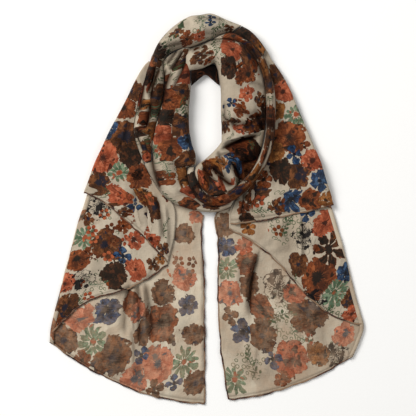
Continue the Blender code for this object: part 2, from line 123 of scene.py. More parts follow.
# ---- the print
MOTIF_REACH = 1.5       # how far from its middle a motif owns the cloth, in radii
WANDER = 7.0            # how wavy the line is between two motifs that meet, mm
WANDER_SHARE = 0.16
TOP_FIRST = 0.3         # a motif's middle goes to the uppermost cloth at its place
SEED_STEP = 0.618
FAR_AWAY = 9.0          # where a face without a motif is on its map
NO_MOTIF = (5, 0.5, 0.5)
PAINTED, POINTED, INKED = 0, 1, 2
LAYERS = ("bloom", "flower", "spray")
PETAL_VARIES = 0.3
CORE_RADIUS = 0.22      # a flower's middle is filled this far out, in its radii
SEED_SPREAD = 37.0      # from a motif's seed to its place in the noise
BED_EDGE = 2.2          # how suddenly a bed of small motifs ends
BERRY_APART = 0.0078    # m
BLOSSOM_APART = 0.022
THREADS_PER_METRE = 190.0
WARP_STRETCH = (1100.0, 110.0, 1.0)
WEFT_STRETCH = (110.0, 1100.0, 1.0)
PRINT_STRENGTH = 0.97
FADED_LEAST = 0.06
FADED_MOST = 0.34
SHOW_THROUGH = 0.4
# painted shade in grooves and along the loop's fold sides, and the real line of stitches near a hem,
# multiply the colour toward this
SHADE_AND_STITCH_TONE = (84, 64, 50)
BERRY_OFFSET = (0.7, 1.9, 0)
BLOSSOM_OFFSET = (9.2, 4.6, 0)
PATCHES = [(26, 14, 8), (60, 28, 12), (92, 44, 20), (44, 22, 10), (120, 62, 30), (30, 34, 52)]

# ---- colours, sRGB. The steps are rust, terracotta, brown, near black, ochre, salmon,
# sage, navy and green.
GROUND = (182, 170, 151)
GROUND_SHADE = (166, 152, 133)
FADED_GROUND = (199, 189, 169)
BELOW = (152, 132, 112)
FADED_VEIL = (178, 150, 124)
INK = (20, 19, 21)
BODY_COLOURS = [
    (118, 56, 24), (164, 80, 50), (88, 46, 20), (40, 22, 12),
    (140, 84, 38), (182, 106, 78), (98, 118, 94), (30, 56, 88),
    (70, 90, 62),
]
DEEP_COLOURS = [
    (62, 26, 10), (106, 42, 22), (38, 18, 7), (14, 9, 7),
    (80, 42, 15), (128, 64, 42), (50, 72, 50), (12, 22, 38),
    (36, 52, 32),
]
LIGHT_COLOURS = [
    (160, 90, 50), (190, 112, 80), (134, 82, 46), (92, 50, 28),
    (168, 112, 60), (204, 138, 108), (134, 150, 122), (66, 96, 128),
    (106, 124, 92),
]
HEART_COLOURS = [
    (14, 10, 9), (44, 14, 9), (18, 22, 38), (8, 7, 7),
    (26, 15, 8), (58, 66, 72), (142, 66, 38), (9, 11, 20),
    (34, 46, 32),
]
BERRY_GREEN = (74, 86, 60)
BLOSSOM_COLOURS = [(142, 68, 42), (112, 56, 28), (158, 84, 52), (92, 50, 30)]
BLOSSOM_HEART = (52, 27, 18)
HEM_DARK = (34, 20, 14)
HEM_BROWN = (88, 48, 28)
HEM_PALE = (146, 118, 92)
FLOOR_PALE = (247, 247, 246)
FLOOR_LIGHT = (250, 250, 249)

PRINTED_FINISH = "muslin_printed"
FADED_FINISH = "muslin_wrong_side"
HEM_FINISH = "muslin_hem_thread"

# ---- the studio, metres
CAMERA_HEIGHT = 4.0
CAMERA_AIM = (0.0019, 0.0011)
SENSOR = 36.0           # mm, Blender's own
KEY_PLACE = (-1.7, 1.4, 2.2)
FILL_PLACE = (1.8, -0.8, 2.4)
KEY_POWER = 98.0
FILL_POWER = 14.0
WORLD_LIGHT = 0.35
FLOOR_SIZE = 8.0
FLOOR_DROP = 0.0002
KEY_SIZE = 1.6
FILL_SIZE = 1.8
LAMP_COLOUR = (1.0, 0.985, 0.96)
FRAME_WIDTH = 0.624
CLIP_END = 50.0


def rows_of(kind, rows):
    """A table's rows with their fields named."""
    return [kind(*row) for row in rows]


# ---- the loop, from the neck's back round to the knot at the front. Each row is a section
# across a fold: the x and y of its outer edge, the x and y of its inner edge and the heights
# of the outer edge, the crest and the inner edge, in mm.
TOP_BAND = [
    (52, 274, 38, 264, 12, 22, 14), (29, 283, 23, 261, 12, 31, 16), (7, 292, 8, 254, 12, 38, 18),
    (-10, 290, -6, 248, 12, 41, 19), (-25, 288, -21, 242, 12, 42, 20),
    (-52, 271, -39, 239, 12, 42, 20), (-72, 249, -55, 232, 12, 38, 18),
    (-82, 229, -66, 220, 10, 30, 14),
]
LEFT_OUTER_FOLDS = [
    (-82.4, 228.7, -66, 220, 9, 27, 12), (-91, 200, -64, 197, 9, 28, 12),
    (-100, 170, -65, 172, 9, 28, 12), (-106, 142, -70, 146, 9, 27, 12),
    (-109, 116, -77, 121, 9, 26, 12), (-103, 91, -82, 95, 9, 24, 12), (-94, 69, -83, 72, 9, 18, 12),
]
LEFT_BAND = [
    (-66, 220, -24, 240.5, 12, 24, 12), (-64, 197, -25, 208, 12, 28, 10),
    (-65, 172, -24, 180, 12, 30, 10), (-70, 146, -26, 151, 12, 30, 10),
    (-77, 121, -26, 122, 12, 30, 10), (-82, 95, -22, 97, 12, 29, 10),
    (-83, 71, -16, 77, 11, 28, 10), (-93, 67, -17, 65, 9, 27, 10), (-88, 56, -28, 63, 9, 27, 11),
    (-79, 40, -29, 51, 9, 26, 12), (-67, 22, -25, 33, 9, 25, 12), (-52, 9, -19.5, 24, 9, 24, 12),
    (-34, 2, -14, 15, 9, 22, 12), (-11, -4, 2, 5, 9, 19, 12), (16, -5, 23, 5, 9, 16, 12),
    (36, 3, 41, 13.2, 9, 13, 11),
]
RIM = [
    (23, 260, 9, 253, 13, 20, 12), (38, 263, 32, 253, 13, 24, 13), (59, 252, 50, 248, 13, 27, 14),
    (75, 240, 65, 235, 12, 29, 14), (84, 229, 74, 223, 11, 30, 14), (93, 208, 83, 203, 10, 31, 14),
    (101, 178, 88, 177, 9, 32, 14), (103, 148, 89, 149, 9, 32, 14), (102, 118, 89, 122, 9, 32, 14),
    (98, 91, 85, 97, 9, 32, 12), (90, 69, 78, 76, 9, 32, 10), (78, 48, 68, 58, 9, 31, 10),
    (63, 30, 54, 42, 9, 30, 10), (45, 15, 38, 28, 9, 28, 10), (23, 5, 18, 19, 11, 26, 10),
    (2, 5, 4, 19, 12, 26, 10), (-14, 15, -7, 28, 12, 25, 10), (-25, 33, -14, 42, 12, 22, 10),
    (-29, 51, -19, 55, 12, 18, 10), (-28, 62, -19, 63, 11, 14, 10),
]
RIGHT_BAND = [
    (-31, 239, -31, 205, 12, 17, 10), (-19, 243, -18, 207, 12, 24, 10),
    (-6, 247, -8, 209, 13, 28, 10), (9, 253, 3, 214, 13, 32, 10), (32, 253, 11, 217, 14, 34, 10),
    (50, 248, 16, 208, 14, 35, 10), (65, 235, 18, 196, 14, 35, 10), (74, 223, 20, 184, 14, 35, 10),
    (83, 203, 21, 170, 14, 34, 10), (88, 177, 21, 157, 14, 33, 10), (89, 149, 21, 140, 14, 32, 10),
    (88, 132, 22, 118, 14, 30, 10), (87, 117, 22, 99, 12, 26, 10),
]
FRONT_KNOT = [
    (87, 118, 22, 100, 12, 24, 9), (80, 84, 14, 90, 10, 20, 9), (68, 58, 5, 81, 10, 18, 9),
    (54, 42, -3, 74, 10, 17, 9), (38, 28, -9, 70, 10, 17, 9), (18, 19, -12, 68, 10, 16, 9),
    (4, 19, -13, 67, 10, 16, 9), (-7, 28, -14, 66, 10, 15, 9), (-14, 42, -15, 65, 10, 14, 9),
    (-18, 52, -16, 64, 10, 12, 9),
]
NECK_BACK = [
    (-23, 219, -23, 184, 8, 13, 7), (-11, 216, -11, 194, 8, 14, 7), (2, 216, -1, 200, 8, 13, 7),
    (11, 216, 7, 194, 8, 14, 7), (16, 208, 14, 188, 8, 14, 7), (17.2, 196, 19, 184, 8, 11, 7),
]
RIGHT_SHOULDER = [
    (53, 273, 40, 262, 10, 21, 12), (65, 266, 59, 252, 10, 23, 12), (77, 254, 75, 240, 10, 21, 11),
    (88, 239, 84, 229, 9, 17, 10),
]

# A section across a tail, from its folded outer edge to its inner edge. fold is the height
# of the turned outer edge and lift is what that edge lies on. bow and sway curve the section
# toward the hem. All in mm.
TailRow = namedtuple(
    "TailRow", "outer_x outer_y inner_x inner_y fold lift bow sway", defaults=(0, 0, 0),
)

# ---- the ends of the scarf, left then right, from the neck down to the hem. A middle layer
# begins as the under layer does, where both come out from below the loop.
LEFT_UNDER = rows_of(TailRow, [
    (-86, 220, -85, 219, 2.2), (-92.5, 212, -88, 211, 3), (-98, 204, -90, 203, 3.8),
    (-106, 187, -95, 187, 4.4), (-114, 167, -100, 170, 5), (-130, 138, -106, 142, 5.2),
    (-143, 114, -109, 116, 5.2), (-154, 90, -103, 91, 5.2), (-163, 68, -94, 69, 5),
    (-168, 56, -88, 56, 5), (-173, 42, -79, 40, 5), (-177, 28, -67, 22, 4.8),
    (-181, 15, -52, 9, 4.8), (-185, 2, -34, 2, 4.6), (-190, -12, -11, -4, 4.6),
    (-198, -40, -8, -35, 4.4, 0, 1), (-205, -68, -6, -65, 4.4, 0, 2),
    (-213, -96, -4, -104, 4.2, 0, 4), (-220, -125, -3, -143, 4.2, 0, 6),
    (-226, -147, -3, -180, 4, 0, 10), (-231, -167, -3, -218, 4, 0, 14),
    (-234, -183, -3, -255, 3.8, 0, 18), (-235, -199, -3, -292, 3.8, 0, 22),
])
LEFT_MIDDLE = LEFT_UNDER[4:13] + rows_of(TailRow, [
    (-190, -12, -46, -8, 4.6), (-198, -40, -46, -22, 4.4, 0, -1, -1),
    (-205, -68, -47, -35, 4.4, 0, -2, -3), (-213, -98, -49, -49, 4.2, 0, -3, -4),
    (-220, -128, -52, -62, 4.2, 0, -4, -6), (-226, -156, -55, -73, 4, 0, -5, -7),
    (-232, -185, -58, -83, 4, 0, -7, -9),
])
LEFT_TOP = rows_of(TailRow, [
    (-87, 221, -84.5, 220, 3, 2.6), (-91.5, 217, -86, 215.5, 3.6, 3.2),
    (-96, 211, -88, 210, 4.2, 3.8), (-107, 192, -93, 192, 4.8, 4.3), (-118, 169, -100, 170, 5.2, 5),
    (-134, 138, -106, 142, 5.6, 5.2), (-147, 114, -109, 116, 5.6, 5.2),
    (-158, 90, -103, 91, 5.6, 5.2), (-168, 69, -94, 69, 5.4, 5), (-172, 58, -88, 56, 5.4, 5),
    (-176, 46, -79, 40, 5.2, 5, -2), (-179, 38, -67, 22, 5.2, 5, -4),
    (-181, 33, -52, 9, 5.2, 4.9, -7), (-183, 28, -48, -35, 5, 4.9, -9, -1),
    (-184, 24, -58, -80, 4.8, 4.9, -11, -2),
])
RIGHT_UNDER = rows_of(TailRow, [
    (85, 241, 82.5, 239.5, 2.4), (89, 234, 84, 232, 3), (93, 225, 86, 223, 3.6),
    (106, 203, 93, 208, 4.4), (119, 177, 101, 178, 5), (134, 145, 103, 148, 5.2),
    (146, 116, 102, 118, 5.2), (157, 90, 98, 91, 5.2), (167, 68, 90, 69, 5), (174, 44, 78, 48, 5),
    (179, 28, 63, 30, 4.8), (184, 10, 45, 15, 4.8), (190, -8, 36, 3, 4.8), (197, -32, 16, -5, 4.6),
    (204, -56, 16, -43, 4.4, 0, 1), (210, -80, 17, -80, 4.4, 0, 2),
    (217, -107, 17, -116, 4.2, 0, 3), (224, -134, 17, -152, 4.2, 0, 5),
    (230, -156, 19, -187, 4, 0, 8), (235, -178, 22, -221, 4, 0, 10),
    (228, -200, 27, -254, 3.8, 0, 12), (219, -221, 32, -286, 3.6, 0, 13),
])
RIGHT_MIDDLE = RIGHT_UNDER[4:13] + rows_of(TailRow, [
    (197, -32, 34, -1, 4.6, 0, 0, 2), (207, -68, 33, -8, 4.4, 0, 2, 5),
    (216, -104, 33, -14, 4.2, 0, 4, 8), (225, -139, 33, -22, 4.2, 0, 6, 11),
    (233, -173, 33, -30, 4, 0, 9, 13),
])
RIGHT_TOP = rows_of(TailRow, [
    (86, 242, 83, 240, 3, 2.6), (90.5, 236, 84.5, 234, 3.8, 3.2), (95, 227, 85.5, 225, 4.4, 3.6),
    (110, 205, 93, 208, 4.8, 4.4), (124, 180, 101, 178, 5.4, 5), (138, 147, 103, 148, 5.6, 5.2),
    (150, 119, 102, 118, 5.6, 5.2), (161, 93, 98, 91, 5.6, 5.2), (171, 70, 90, 69, 5.4, 5),
    (178, 46, 78, 48, 5.4, 5), (183, 31, 63, 30, 5.2, 4.8), (187, 19, 45, 15, 5.2, 4.8),
    (188, 13, 37, -5, 5, 4.8, 2), (190, 7, 35, -23, 4.8, 4.8, 4),
])

# A groove (height below 0) or a crest on the cloth, as seen from above, from one end to
# the other. bend bows its middle to the left of that direction, left and right are how
# fast it levels out on each side. All in mm.
Fold = namedtuple("Fold", "x0 y0 x1 y1 bend height left right")

# A printed motif: its middle as seen from above and its radius in mm, turned in degrees.
Motif = namedtuple("Motif", "x y size turn kind")

# How a kind of motif is drawn. A flower has its petals' number, how far out their middle is
# and half their breadth, both in radii. A spray has its leaves' spacing, their length and
# its stem's bend instead. tint picks the colours. style is PAINTED, POINTED or INKED for a
# flower and the share of leaves in outline only for a spray.
Kind = namedtuple("Kind", "petals middle breadth tint style layer")

# A part of the cloth sown with berries, small blossoms, fine lines or brushed patches.
# Middle and radius in mm, as seen from above, and the amounts of each from 0 to 1.
Bed = namedtuple("Bed", "x y size leaves blossoms lines patches", defaults=(0,))

KINDS = {
    "rust bloom": Kind(6, 0.48, 0.60, 0.05, PAINTED, "bloom"),
    "terracotta bloom": Kind(5, 0.46, 0.68, 0.16, PAINTED, "bloom"),
    "brown bloom": Kind(5, 0.52, 0.56, 0.27, PAINTED, "bloom"),
    "dark bloom": Kind(5, 0.50, 0.58, 0.38, PAINTED, "bloom"),
    "ochre bloom": Kind(5, 0.50, 0.56, 0.50, PAINTED, "bloom"),
    "salmon bloom": Kind(6, 0.48, 0.60, 0.61, PAINTED, "bloom"),
    "blue bloom": Kind(5, 0.54, 0.46, 0.83, PAINTED, "bloom"),
    "star bloom": Kind(7, 0.57, 0.25, 0.38, POINTED, "bloom"),
    "daisy": Kind(11, 0.60, 0.17, 0.72, PAINTED, "bloom"),
    "rust flower": Kind(5, 0.55, 0.44, 0.05, PAINTED, "flower"),
    "terracotta flower": Kind(6, 0.56, 0.38, 0.16, PAINTED, "flower"),
    "brown flower": Kind(4, 0.54, 0.46, 0.27, PAINTED, "flower"),
    "dark flower": Kind(6, 0.56, 0.44, 0.38, PAINTED, "flower"),
    "ochre flower": Kind(5, 0.55, 0.43, 0.50, PAINTED, "flower"),
    "blue flower": Kind(4, 0.58, 0.42, 0.83, PAINTED, "flower"),
    "leaf": Kind(1, 0.50, 0.52, 0.27, POINTED, "flower"),
    "rust leaf": Kind(1, 0.50, 0.56, 0.05, POINTED, "flower"),
    "green leaf": Kind(2, 0.50, 0.46, 0.94, POINTED, "flower"),
    "ink flower": Kind(6, 0.54, 0.46, 0.38, INKED, "flower"),
    "green spray": Kind(0.30, 0.34, 0.25, 0.94, 0.35, "spray"),
    "sage spray": Kind(0.26, 0.26, -0.3, 0.72, 0.7, "spray"),
    "brown spray": Kind(0.34, 0.26, 0.3, 0.27, 0.1, "spray"),
    "rust spray": Kind(0.30, 0.22, -0.25, 0.05, 0.0, "spray"),
}

# ---- grooves and crests of the loop
TOP_BAND_FOLDS = rows_of(Fold, [
    (-22, 284, 30, 280, 2, -5, 2.5, 4), (-79, 229, -25, 246, 5, -7, 5, 5),
    (-73, 238, -58, 248, 1, -4, 3, 3), (-70, 226, -33, 239, 2, -4, 3, 3),
    (-10, 262, 44, 269, -5, -4, 8, 5), (-62, 262, -20, 276, 3, -2.5, 8, 8),
    (-40, 256, 2, 262, 3, 2.2, 7, 9), (-78, 240, -50, 262, 4, -3, 6, 4),
])
LEFT_OUTER_FOLD_LINES = rows_of(Fold, [
    (-75, 219, -91, 166, 2, -9, 5, 5), (-67, 216, -85, 158, -3, -11, 5, 4),
    (-84, 162, -92, 116, 2, -10, 5, 5), (-92, 214, -105, 134, 3, -10, 4, 5),
    (-108, 119, -79, 112, -3, -7, 3, 4), (-102, 129, -88, 129, -4, -7, 3, 3),
    (-105, 113, -95, 84, 0, -7, 3, 3), (-96, 108, -87, 78, 1, -4, 3, 3),
    (-80, 214, -96, 176, 1, 3, 4, 4), (-72, 200, -78, 150, 1, 3, 3, 3),
    (-100, 176, -104, 138, 1, 2, 3, 3),
])
LEFT_BAND_FOLDS = rows_of(Fold, [
    (-34, 240, -58, 204, 2, -10, 4, 3.5), (-44, 240, -62, 214, 2, -8, 3, 3),
    (-27, 237, -54, 176, 4, -8, 4.5, 4), (-23, 216, -23, 190, 1, -4, 3, 3),
    (-50, 210, -68, 146, -3, -8, 6, 7), (-60, 212, -68, 170, -1, -9, 3, 3),
    (-30, 172, -20, 84, 3, -5, 4, 3), (-62, 114, -84, 108, 1, -6, 4, 4),
    (-83, 104, -65, 18, -5, -9, 4, 6), (-52, 76, -39, 28, 2, -3.5, 9, 9),
    (-46, 27, -2, 0, 3, -4, 5, 4), (-45, 154, -52, 88, -3, -3.5, 10, 10),
    (-34, 132, -28, 66, 2, 3, 8, 7), (-10, 3, 24, -1, -1, -3, 3, 3),
    (-66, 132, -34, 118, -2, -3, 7, 6), (-38, 206, -46, 160, 2, 3, 6, 6),
    (-58, 150, -70, 84, -3, 3, 7, 6), (-62, 60, -44, 14, -3, 2.6, 7, 7),
    (-30, 58, -22, 26, 2, -4, 4, 4),
])
RIM_FOLDS = rows_of(Fold, [
    (53, 251, 91, 180, 8, -8, 3, 3), (66, 247, 97, 186, 7, -6, 2.5, 2.5),
    (92, 178, 90, 108, 2, -4, 2.5, 2.5), (97, 116, 60, 32, 7, -7, 3, 3),
    (76, 44, 4, 10, -9, -7, 3, 3), (96, 150, 80, 56, 6, -5, 2.5, 2.5),
    (98, 186, 96, 120, -1, 3, 2.5, 2.5), (88, 84, 50, 26, -8, 3, 3, 3),
    (-22, 36, -2, 12, -4, -3, 3, 3),
])
RIGHT_BAND_FOLDS = rows_of(Fold, [
    (-2, 243, 48, 249, 4, -5, 3, 4), (-24, 232, 2, 240, 3, -4, 4, 4),
    (-20, 220, 14, 229, 5, -5, 4, 5), (-24, 226, 4, 234, 3, 3, 4, 4),
    (-26, 211, 2, 220, 4, 3, 5, 4), (54, 246, 84, 190, 8, -5, 6, 6),
    (56, 183, 90, 176, 8, -4.5, 2, 6), (26, 164, 25, 104, 1, -6, 3, 3),
    (72, 150, 84, 90, 4, -9, 5, 6), (42, 148, 76, 130, 2, -5, 6, 5),
    (64, 196, 70, 138, 0, 2.4, 6, 6), (35, 131, 67, 121, 1, -7, 4, 4),
    (18, 218, 34, 150, -4, 2.6, 8, 10), (44, 232, 52, 168, 4, -3, 11, 10),
    (86, 172, 86, 110, -1, -5, 4, 3), (28, 240, 66, 214, 5, 2.5, 7, 8),
    (21, 142, 54, 122, -3, -8, 3.5, 5), (50, 122, 86, 148, -5, -7, 4, 6),
    (60, 132, 78, 122, 2, 4, 4, 4), (44, 118, 60, 98, 3, 6, 6, 6), (86, 150, 76, 92, -3, 5, 4, 7),
    (20, 112, 44, 132, 4, 5, 5, 5), (-20, 226, 12, 222, 2, 3, 3, 3),
])
FRONT_KNOT_FOLDS = rows_of(Fold, [
    (22, 94, 62, 122, 5, 8, 7, 5), (18, 86, 84, 110, 5, -12, 3, 6),
    (34, 108, 54, 102, -3, -6, 3, 3), (52, 118, 84, 92, 6, 6, 5, 5), (40, 92, 66, 66, 5, -6, 3, 4),
    (14, 88, 24, 60, 3, -5, 3, 3), (24, 60, 14, 26, -3, 5, 5, 4), (-2, 62, 68, 88, -8, 6, 8, 9),
    (6, 68, 44, 32, -4, -12, 3.5, 5), (26, 72, 42, 24, 6, 7, 3, 5),
    (32, 74, 48, 26, 7, -11, 4.5, 3), (50, 70, 80, 78, -3, -9, 5, 6), (56, 60, 66, 42, 2, -7, 4, 4),
    (60, 108, 76, 84, -4, 6, 6, 6), (-24, 54, 6, 20, -5, 6, 7, 6), (-6, 66, 18, 38, -3, -8, 4, 4),
    (-16, 44, 4, 22, -3, -7, 3, 3), (14, 76, 40, 84, 2, -6, 3, 4),
])
NECK_BACK_FOLDS = rows_of(Fold, [
    (-20, 214, 0, 209, 2, -3, 3, 3), (-20, 202, -2, 203, -2, -3, 3, 3),
    (2, 208, 16, 198, 2, -3, 3, 3),
])
RIGHT_SHOULDER_FOLDS = rows_of(Fold, [
    (52, 262, 84, 238, 4, -4, 3, 3), (60, 268, 80, 248, 3, -2, 3, 3),
])

# ---- folds of the two ends. A fold of a lower layer shows through the layers on it.
LEFT_UNDER_FOLDS = rows_of(Fold, [
    (-104, -90, -106, -262, 3, 7.5, 20, 22), (-112, -104, -122, -196, -5, -6.5, 2.5, 4),
    (-104, -104, -102, -214, 2, -6.5, 3, 2.5), (-95, -104, -84, -204, 5, -6, 4, 2.5),
    (-116, -176, -110, -240, 4, -4.5, 3, 3), (-108, -112, -111, -190, -3, 5, 3, 4),
    (-99, -112, -93, -196, 3, 5, 4, 3), (-86, -112, -70, -172, 5, -4, 5, 3),
    (-118, -176, -112, -250, 4, 6, 9, 10), (-88, -106, -72, -176, 5, 4, 10, 4),
    (-90, -118, -34, -190, 6, 3.5, 12, 16), (-84, -182, -66, -284, 4, 3.4, 18, 18),
    (-112, -118, -200, -178, -10, 4, 14, 18), (-148, -166, -168, -236, 3, 3.6, 16, 18),
    (-130, -196, -136, -262, 2, -2.6, 10, 10), (-9, -30, -8, -284, 0, 3.6, 3, 8),
    (-40, -60, -36, -190, 4, 3.2, 14, 16), (-24, -10, -20, -90, 2, 2.4, 7, 8),
    (-200, -60, -214, -150, 4, 2.4, 12, 12), (-40, -216, -34, -280, 2, 2.6, 10, 12),
    (-206, -168, -196, -232, 3, 2.4, 10, 12),
])
LEFT_MIDDLE_FOLDS = rows_of(Fold, [
    (-95, -108, -118, -50, 3, 5, 5, 12), (-93, -106, -80, -64, -2, 4, 12, 5),
    (-96, -110, -158, -110, 5, 4, 11, 5), (-150, -14, -188, -124, 4, 6, 14, 18),
    (-118, -36, -142, -104, -3, 4, 16, 15), (-170, -6, -200, -110, 3, 2.6, 7, 14),
    (-134, -10, -124, -60, 3, -2.4, 9, 9), (-206, -90, -222, -160, 3, 2.6, 10, 10),
])
LEFT_TOP_FOLDS = rows_of(Fold, [
    (-116, 152, -154, 58, 6, 3.2, 4, 14), (-112, 72, -120, -10, -3, 4, 16, 16),
    (-84, 26, -72, -56, 3, 7, 9, 4), (-77, 26, -65, -52, 3, -6.5, 3, 3.5),
    (-106, 36, -98, -34, -4, -5, 4, 5), (-93, 26, -84, -44, 2, -4.5, 3.5, 4),
    (-64, 10, -60, -66, 2, 6, 3, 9), (-152, 34, -126, -16, 5, 3.6, 7, 13),
    (-128, 112, -148, 26, 4, 5.5, 17, 12), (-98, 38, -98, -32, -3, 3.4, 8, 10),
    (-90, 24, -66, -10, -3, 3.4, 4, 9), (-112, 24, -94, -34, -4, -3, 6, 6),
    (-158, 98, -92, 98, 4, -2, 4, 6), (-94, 88, -82, 44, 3, -4, 8, 7),
])
RIGHT_UNDER_FOLDS = rows_of(Fold, [
    (76, -44, 58, -182, -8, 8, 14, 18), (83, -58, 66, -166, -8, -8, 3.5, 2.5),
    (76, -62, 60, -158, -8, 4, 3, 6), (56, -66, 50, -140, -4, -4, 4, 4),
    (58, -60, 50, -150, -5, 3.5, 9, 9), (72, -158, 66, -262, 3, 5, 5, 12),
    (64, -164, 58, -256, 3, -2, 7, 4), (112, -176, 120, -250, 3, 2.4, 8, 10),
    (92, -150, 86, -262, 2, 3.2, 12, 16), (128, -120, 142, -246, 4, 4.4, 20, 20),
    (38, -60, 42, -240, 3, 3, 14, 14), (196, -150, 204, -214, 2, 3, 10, 12),
    (18, -60, 24, -254, 0, 2, 6, 3), (104, -96, 96, -180, 4, 3, 16, 14),
    (168, -142, 174, -226, 3, -2.4, 12, 12),
])
RIGHT_MIDDLE_FOLDS = rows_of(Fold, [
    (139, -4, 141, -80, 1, 6.5, 3, 12), (158, -2, 157, -62, -1, 6, 12, 3),
    (150, -30, 200, -122, -4, 6, 18, 12), (92, -20, 110, -68, 3, 4, 15, 15),
    (182, -50, 206, -132, 3, 3, 9, 14), (60, -24, 98, -54, 2, 3.4, 6, 12),
    (118, -14, 124, -72, 2, -2.4, 8, 8),
])
RIGHT_TOP_FOLDS = rows_of(Fold, [
    (49, 22, 44, -28, 2, 7, 9, 3), (56, 32, 51, -16, 1, -7, 3, 3.5), (70, 34, 67, -8, -1, -5, 4, 3),
    (64, 30, 58, -16, -2, 6, 3, 9), (163, 84, 180, 20, 3, 3.6, 13, 3),
    (84, 50, 106, -2, 4, 4, 13, 13), (102, 70, 152, 12, -5, 6, 15, 10),
    (110, 124, 142, 52, 5, 5, 12, 18), (104, 180, 120, 112, 2, 3, 9, 11),
    (76, 16, 74, -14, 1, 3, 5, 8), (86, 62, 120, 34, -4, -2.6, 7, 7),
    (118, 96, 156, 84, 3, -2, 5, 8),
])
# ---- the print, laid out for each stretch of the cloth
TOP_BAND_PRINT = rows_of(Motif, [
    (14, 268, 20, 30, "green spray"), (-6, 276, 19, 8, "sage spray"),
    (-30, 252, 14, -30, "rust flower"), (-62, 248, 20, 60, "green spray"),
    (-44, 262, 13, 20, "brown flower"), (-72, 230, 14, 0, "dark bloom"),
    (-12, 256, 11, 0, "terracotta flower"), (-36, 278, 12, 20, "green leaf"),
    (-56, 228, 11, 0, "ink flower"), (34, 270, 9, 30, "brown flower"),
    (4, 286, 9, 0, "blue flower"),
])
TOP_BAND_BEDS = [Bed(8, 270, 28, 1.0, 0, 0), Bed(-64, 242, 20, 1.0, 0, 0.3)]
RIGHT_SHOULDER_PRINT = rows_of(Motif, [
    (56, 258, 20, 0, "dark bloom"), (80, 242, 14, 0, "ochre bloom"),
    (70, 250, 12, 30, "brown bloom"),
])
LEFT_OUTER_PRINT = rows_of(Motif, [
    (-74, 190, 18, 10, "green spray"), (-80, 166, 20, 60, "brown bloom"),
    (-84, 144, 18, 100, "sage spray"), (-98, 128, 17, 10, "rust bloom"),
    (-102, 110, 12, 0, "dark flower"), (-86, 118, 16, 80, "ochre bloom"),
    (-90, 90, 16, 100, "brown bloom"), (-82, 210, 18, 110, "rust bloom"),
    (-96, 172, 18, 75, "terracotta bloom"), (-90, 196, 11, 30, "dark flower"),
    (-104, 144, 12, 30, "green spray"), (-76, 222, 14, 30, "brown bloom"),
    (-92, 104, 13, 60, "green spray"), (-88, 76, 12, 0, "terracotta flower"),
    (-92, 154, 10, 40, "ochre flower"), (-72, 150, 12, 40, "rust bloom"),
])
LEFT_OUTER_BEDS = [
    Bed(-86, 146, 22, 0.9, 0.2, 0), Bed(-76, 190, 20, 0.7, 0, 0.5), Bed(-96, 102, 14, 0.8, 0, 0),
]
LEFT_BAND_PRINT = rows_of(Motif, [
    (-34, 222, 13, 30, "brown flower"), (-30, 200, 16, 80, "terracotta bloom"),
    (-50, 208, 15, 60, "green spray"), (-36, 174, 16, 100, "brown bloom"),
    (-60, 188, 12, 0, "rust flower"), (-58, 162, 22, 20, "rust bloom"),
    (-32, 148, 18, 65, "green spray"), (-64, 136, 19, 0, "dark bloom"),
    (-42, 122, 24, 15, "brown bloom"), (-72, 110, 18, 10, "terracotta bloom"),
    (-28, 100, 18, 50, "blue bloom"), (-54, 92, 22, 30, "rust bloom"), (-76, 86, 11, 0, "daisy"),
    (-30, 72, 18, 25, "brown bloom"), (-60, 62, 16, 60, "sage spray"),
    (-30, 48, 19, 15, "ochre bloom"), (-70, 44, 13, 60, "rust flower"),
    (-22, 24, 17, 15, "terracotta bloom"), (-54, 12, 14, 70, "green spray"),
    (-28, 6, 14, 0, "rust bloom"), (8, 4, 16, 0, "brown bloom"),
])
LEFT_BAND_BEDS = [
    Bed(-34, 150, 22, 1.0, 0, 0.2),
    Bed(-62, 58, 20, 0.8, 0, 0),
    Bed(-48, 206, 18, 0.8, 0, 0),
    Bed(-52, 126, 34, 0, 0, 0, 0.42),
    Bed(-58, 172, 18, 0, 0, 0, 0.5),
    Bed(-36, 80, 30, 0, 0, 0, 0.42),
]
RIM_BEDS = [
    Bed(60, 250, 20, 0, 0, 0, 0.6), Bed(94, 170, 34, 0, 0, 0, 0.34), Bed(94, 110, 34, 0, 0, 0, 0.4),
    Bed(56, 36, 36, 0, 0, 0, 0.55), Bed(0, 12, 36, 0, 0, 0, 0.6),
]
RIM_PRINT = rows_of(Motif, [
    (40, 258, 16, 0, "rust bloom"), (70, 236, 20, 0, "brown bloom"),
    (88, 210, 16, 0, "ochre bloom"), (94, 186, 18, 30, "brown bloom"),
    (94, 160, 14, 30, "green spray"), (96, 138, 18, 0, "rust bloom"),
    (94, 108, 20, 0, "brown bloom"), (88, 78, 18, 0, "rust bloom"), (72, 50, 20, 0, "ochre bloom"),
    (46, 26, 22, 0, "brown bloom"), (22, 10, 20, 0, "rust bloom"), (-2, 12, 20, 0, "brown bloom"),
    (-20, 36, 20, 0, "dark bloom"), (92, 126, 9, 0, "dark flower"),
])
RIGHT_BAND_PRINT = rows_of(Motif, [
    (-12, 230, 14, 30, "brown flower"), (14, 240, 17, 20, "green spray"),
    (4, 221, 11, 20, "rust flower"), (38, 238, 16, 10, "terracotta bloom"),
    (64, 226, 22, 10, "brown bloom"), (32, 212, 19, 0, "dark bloom"),
    (62, 200, 16, 0, "rust bloom"), (62, 172, 13, 10, "terracotta flower"),
    (36, 158, 11, 20, "blue flower"), (78, 164, 11, 90, "brown flower"),
    (54, 148, 12, 70, "rust flower"), (34, 138, 11, 60, "green spray"),
    (30, 124, 12, 35, "brown flower"), (68, 123, 18, 0, "brown bloom"),
    (84, 143, 14, 35, "dark bloom"), (85, 114, 15, 35, "rust bloom"),
    (48, 118, 10, 35, "terracotta flower"), (36, 106, 9, 20, "green spray"),
])
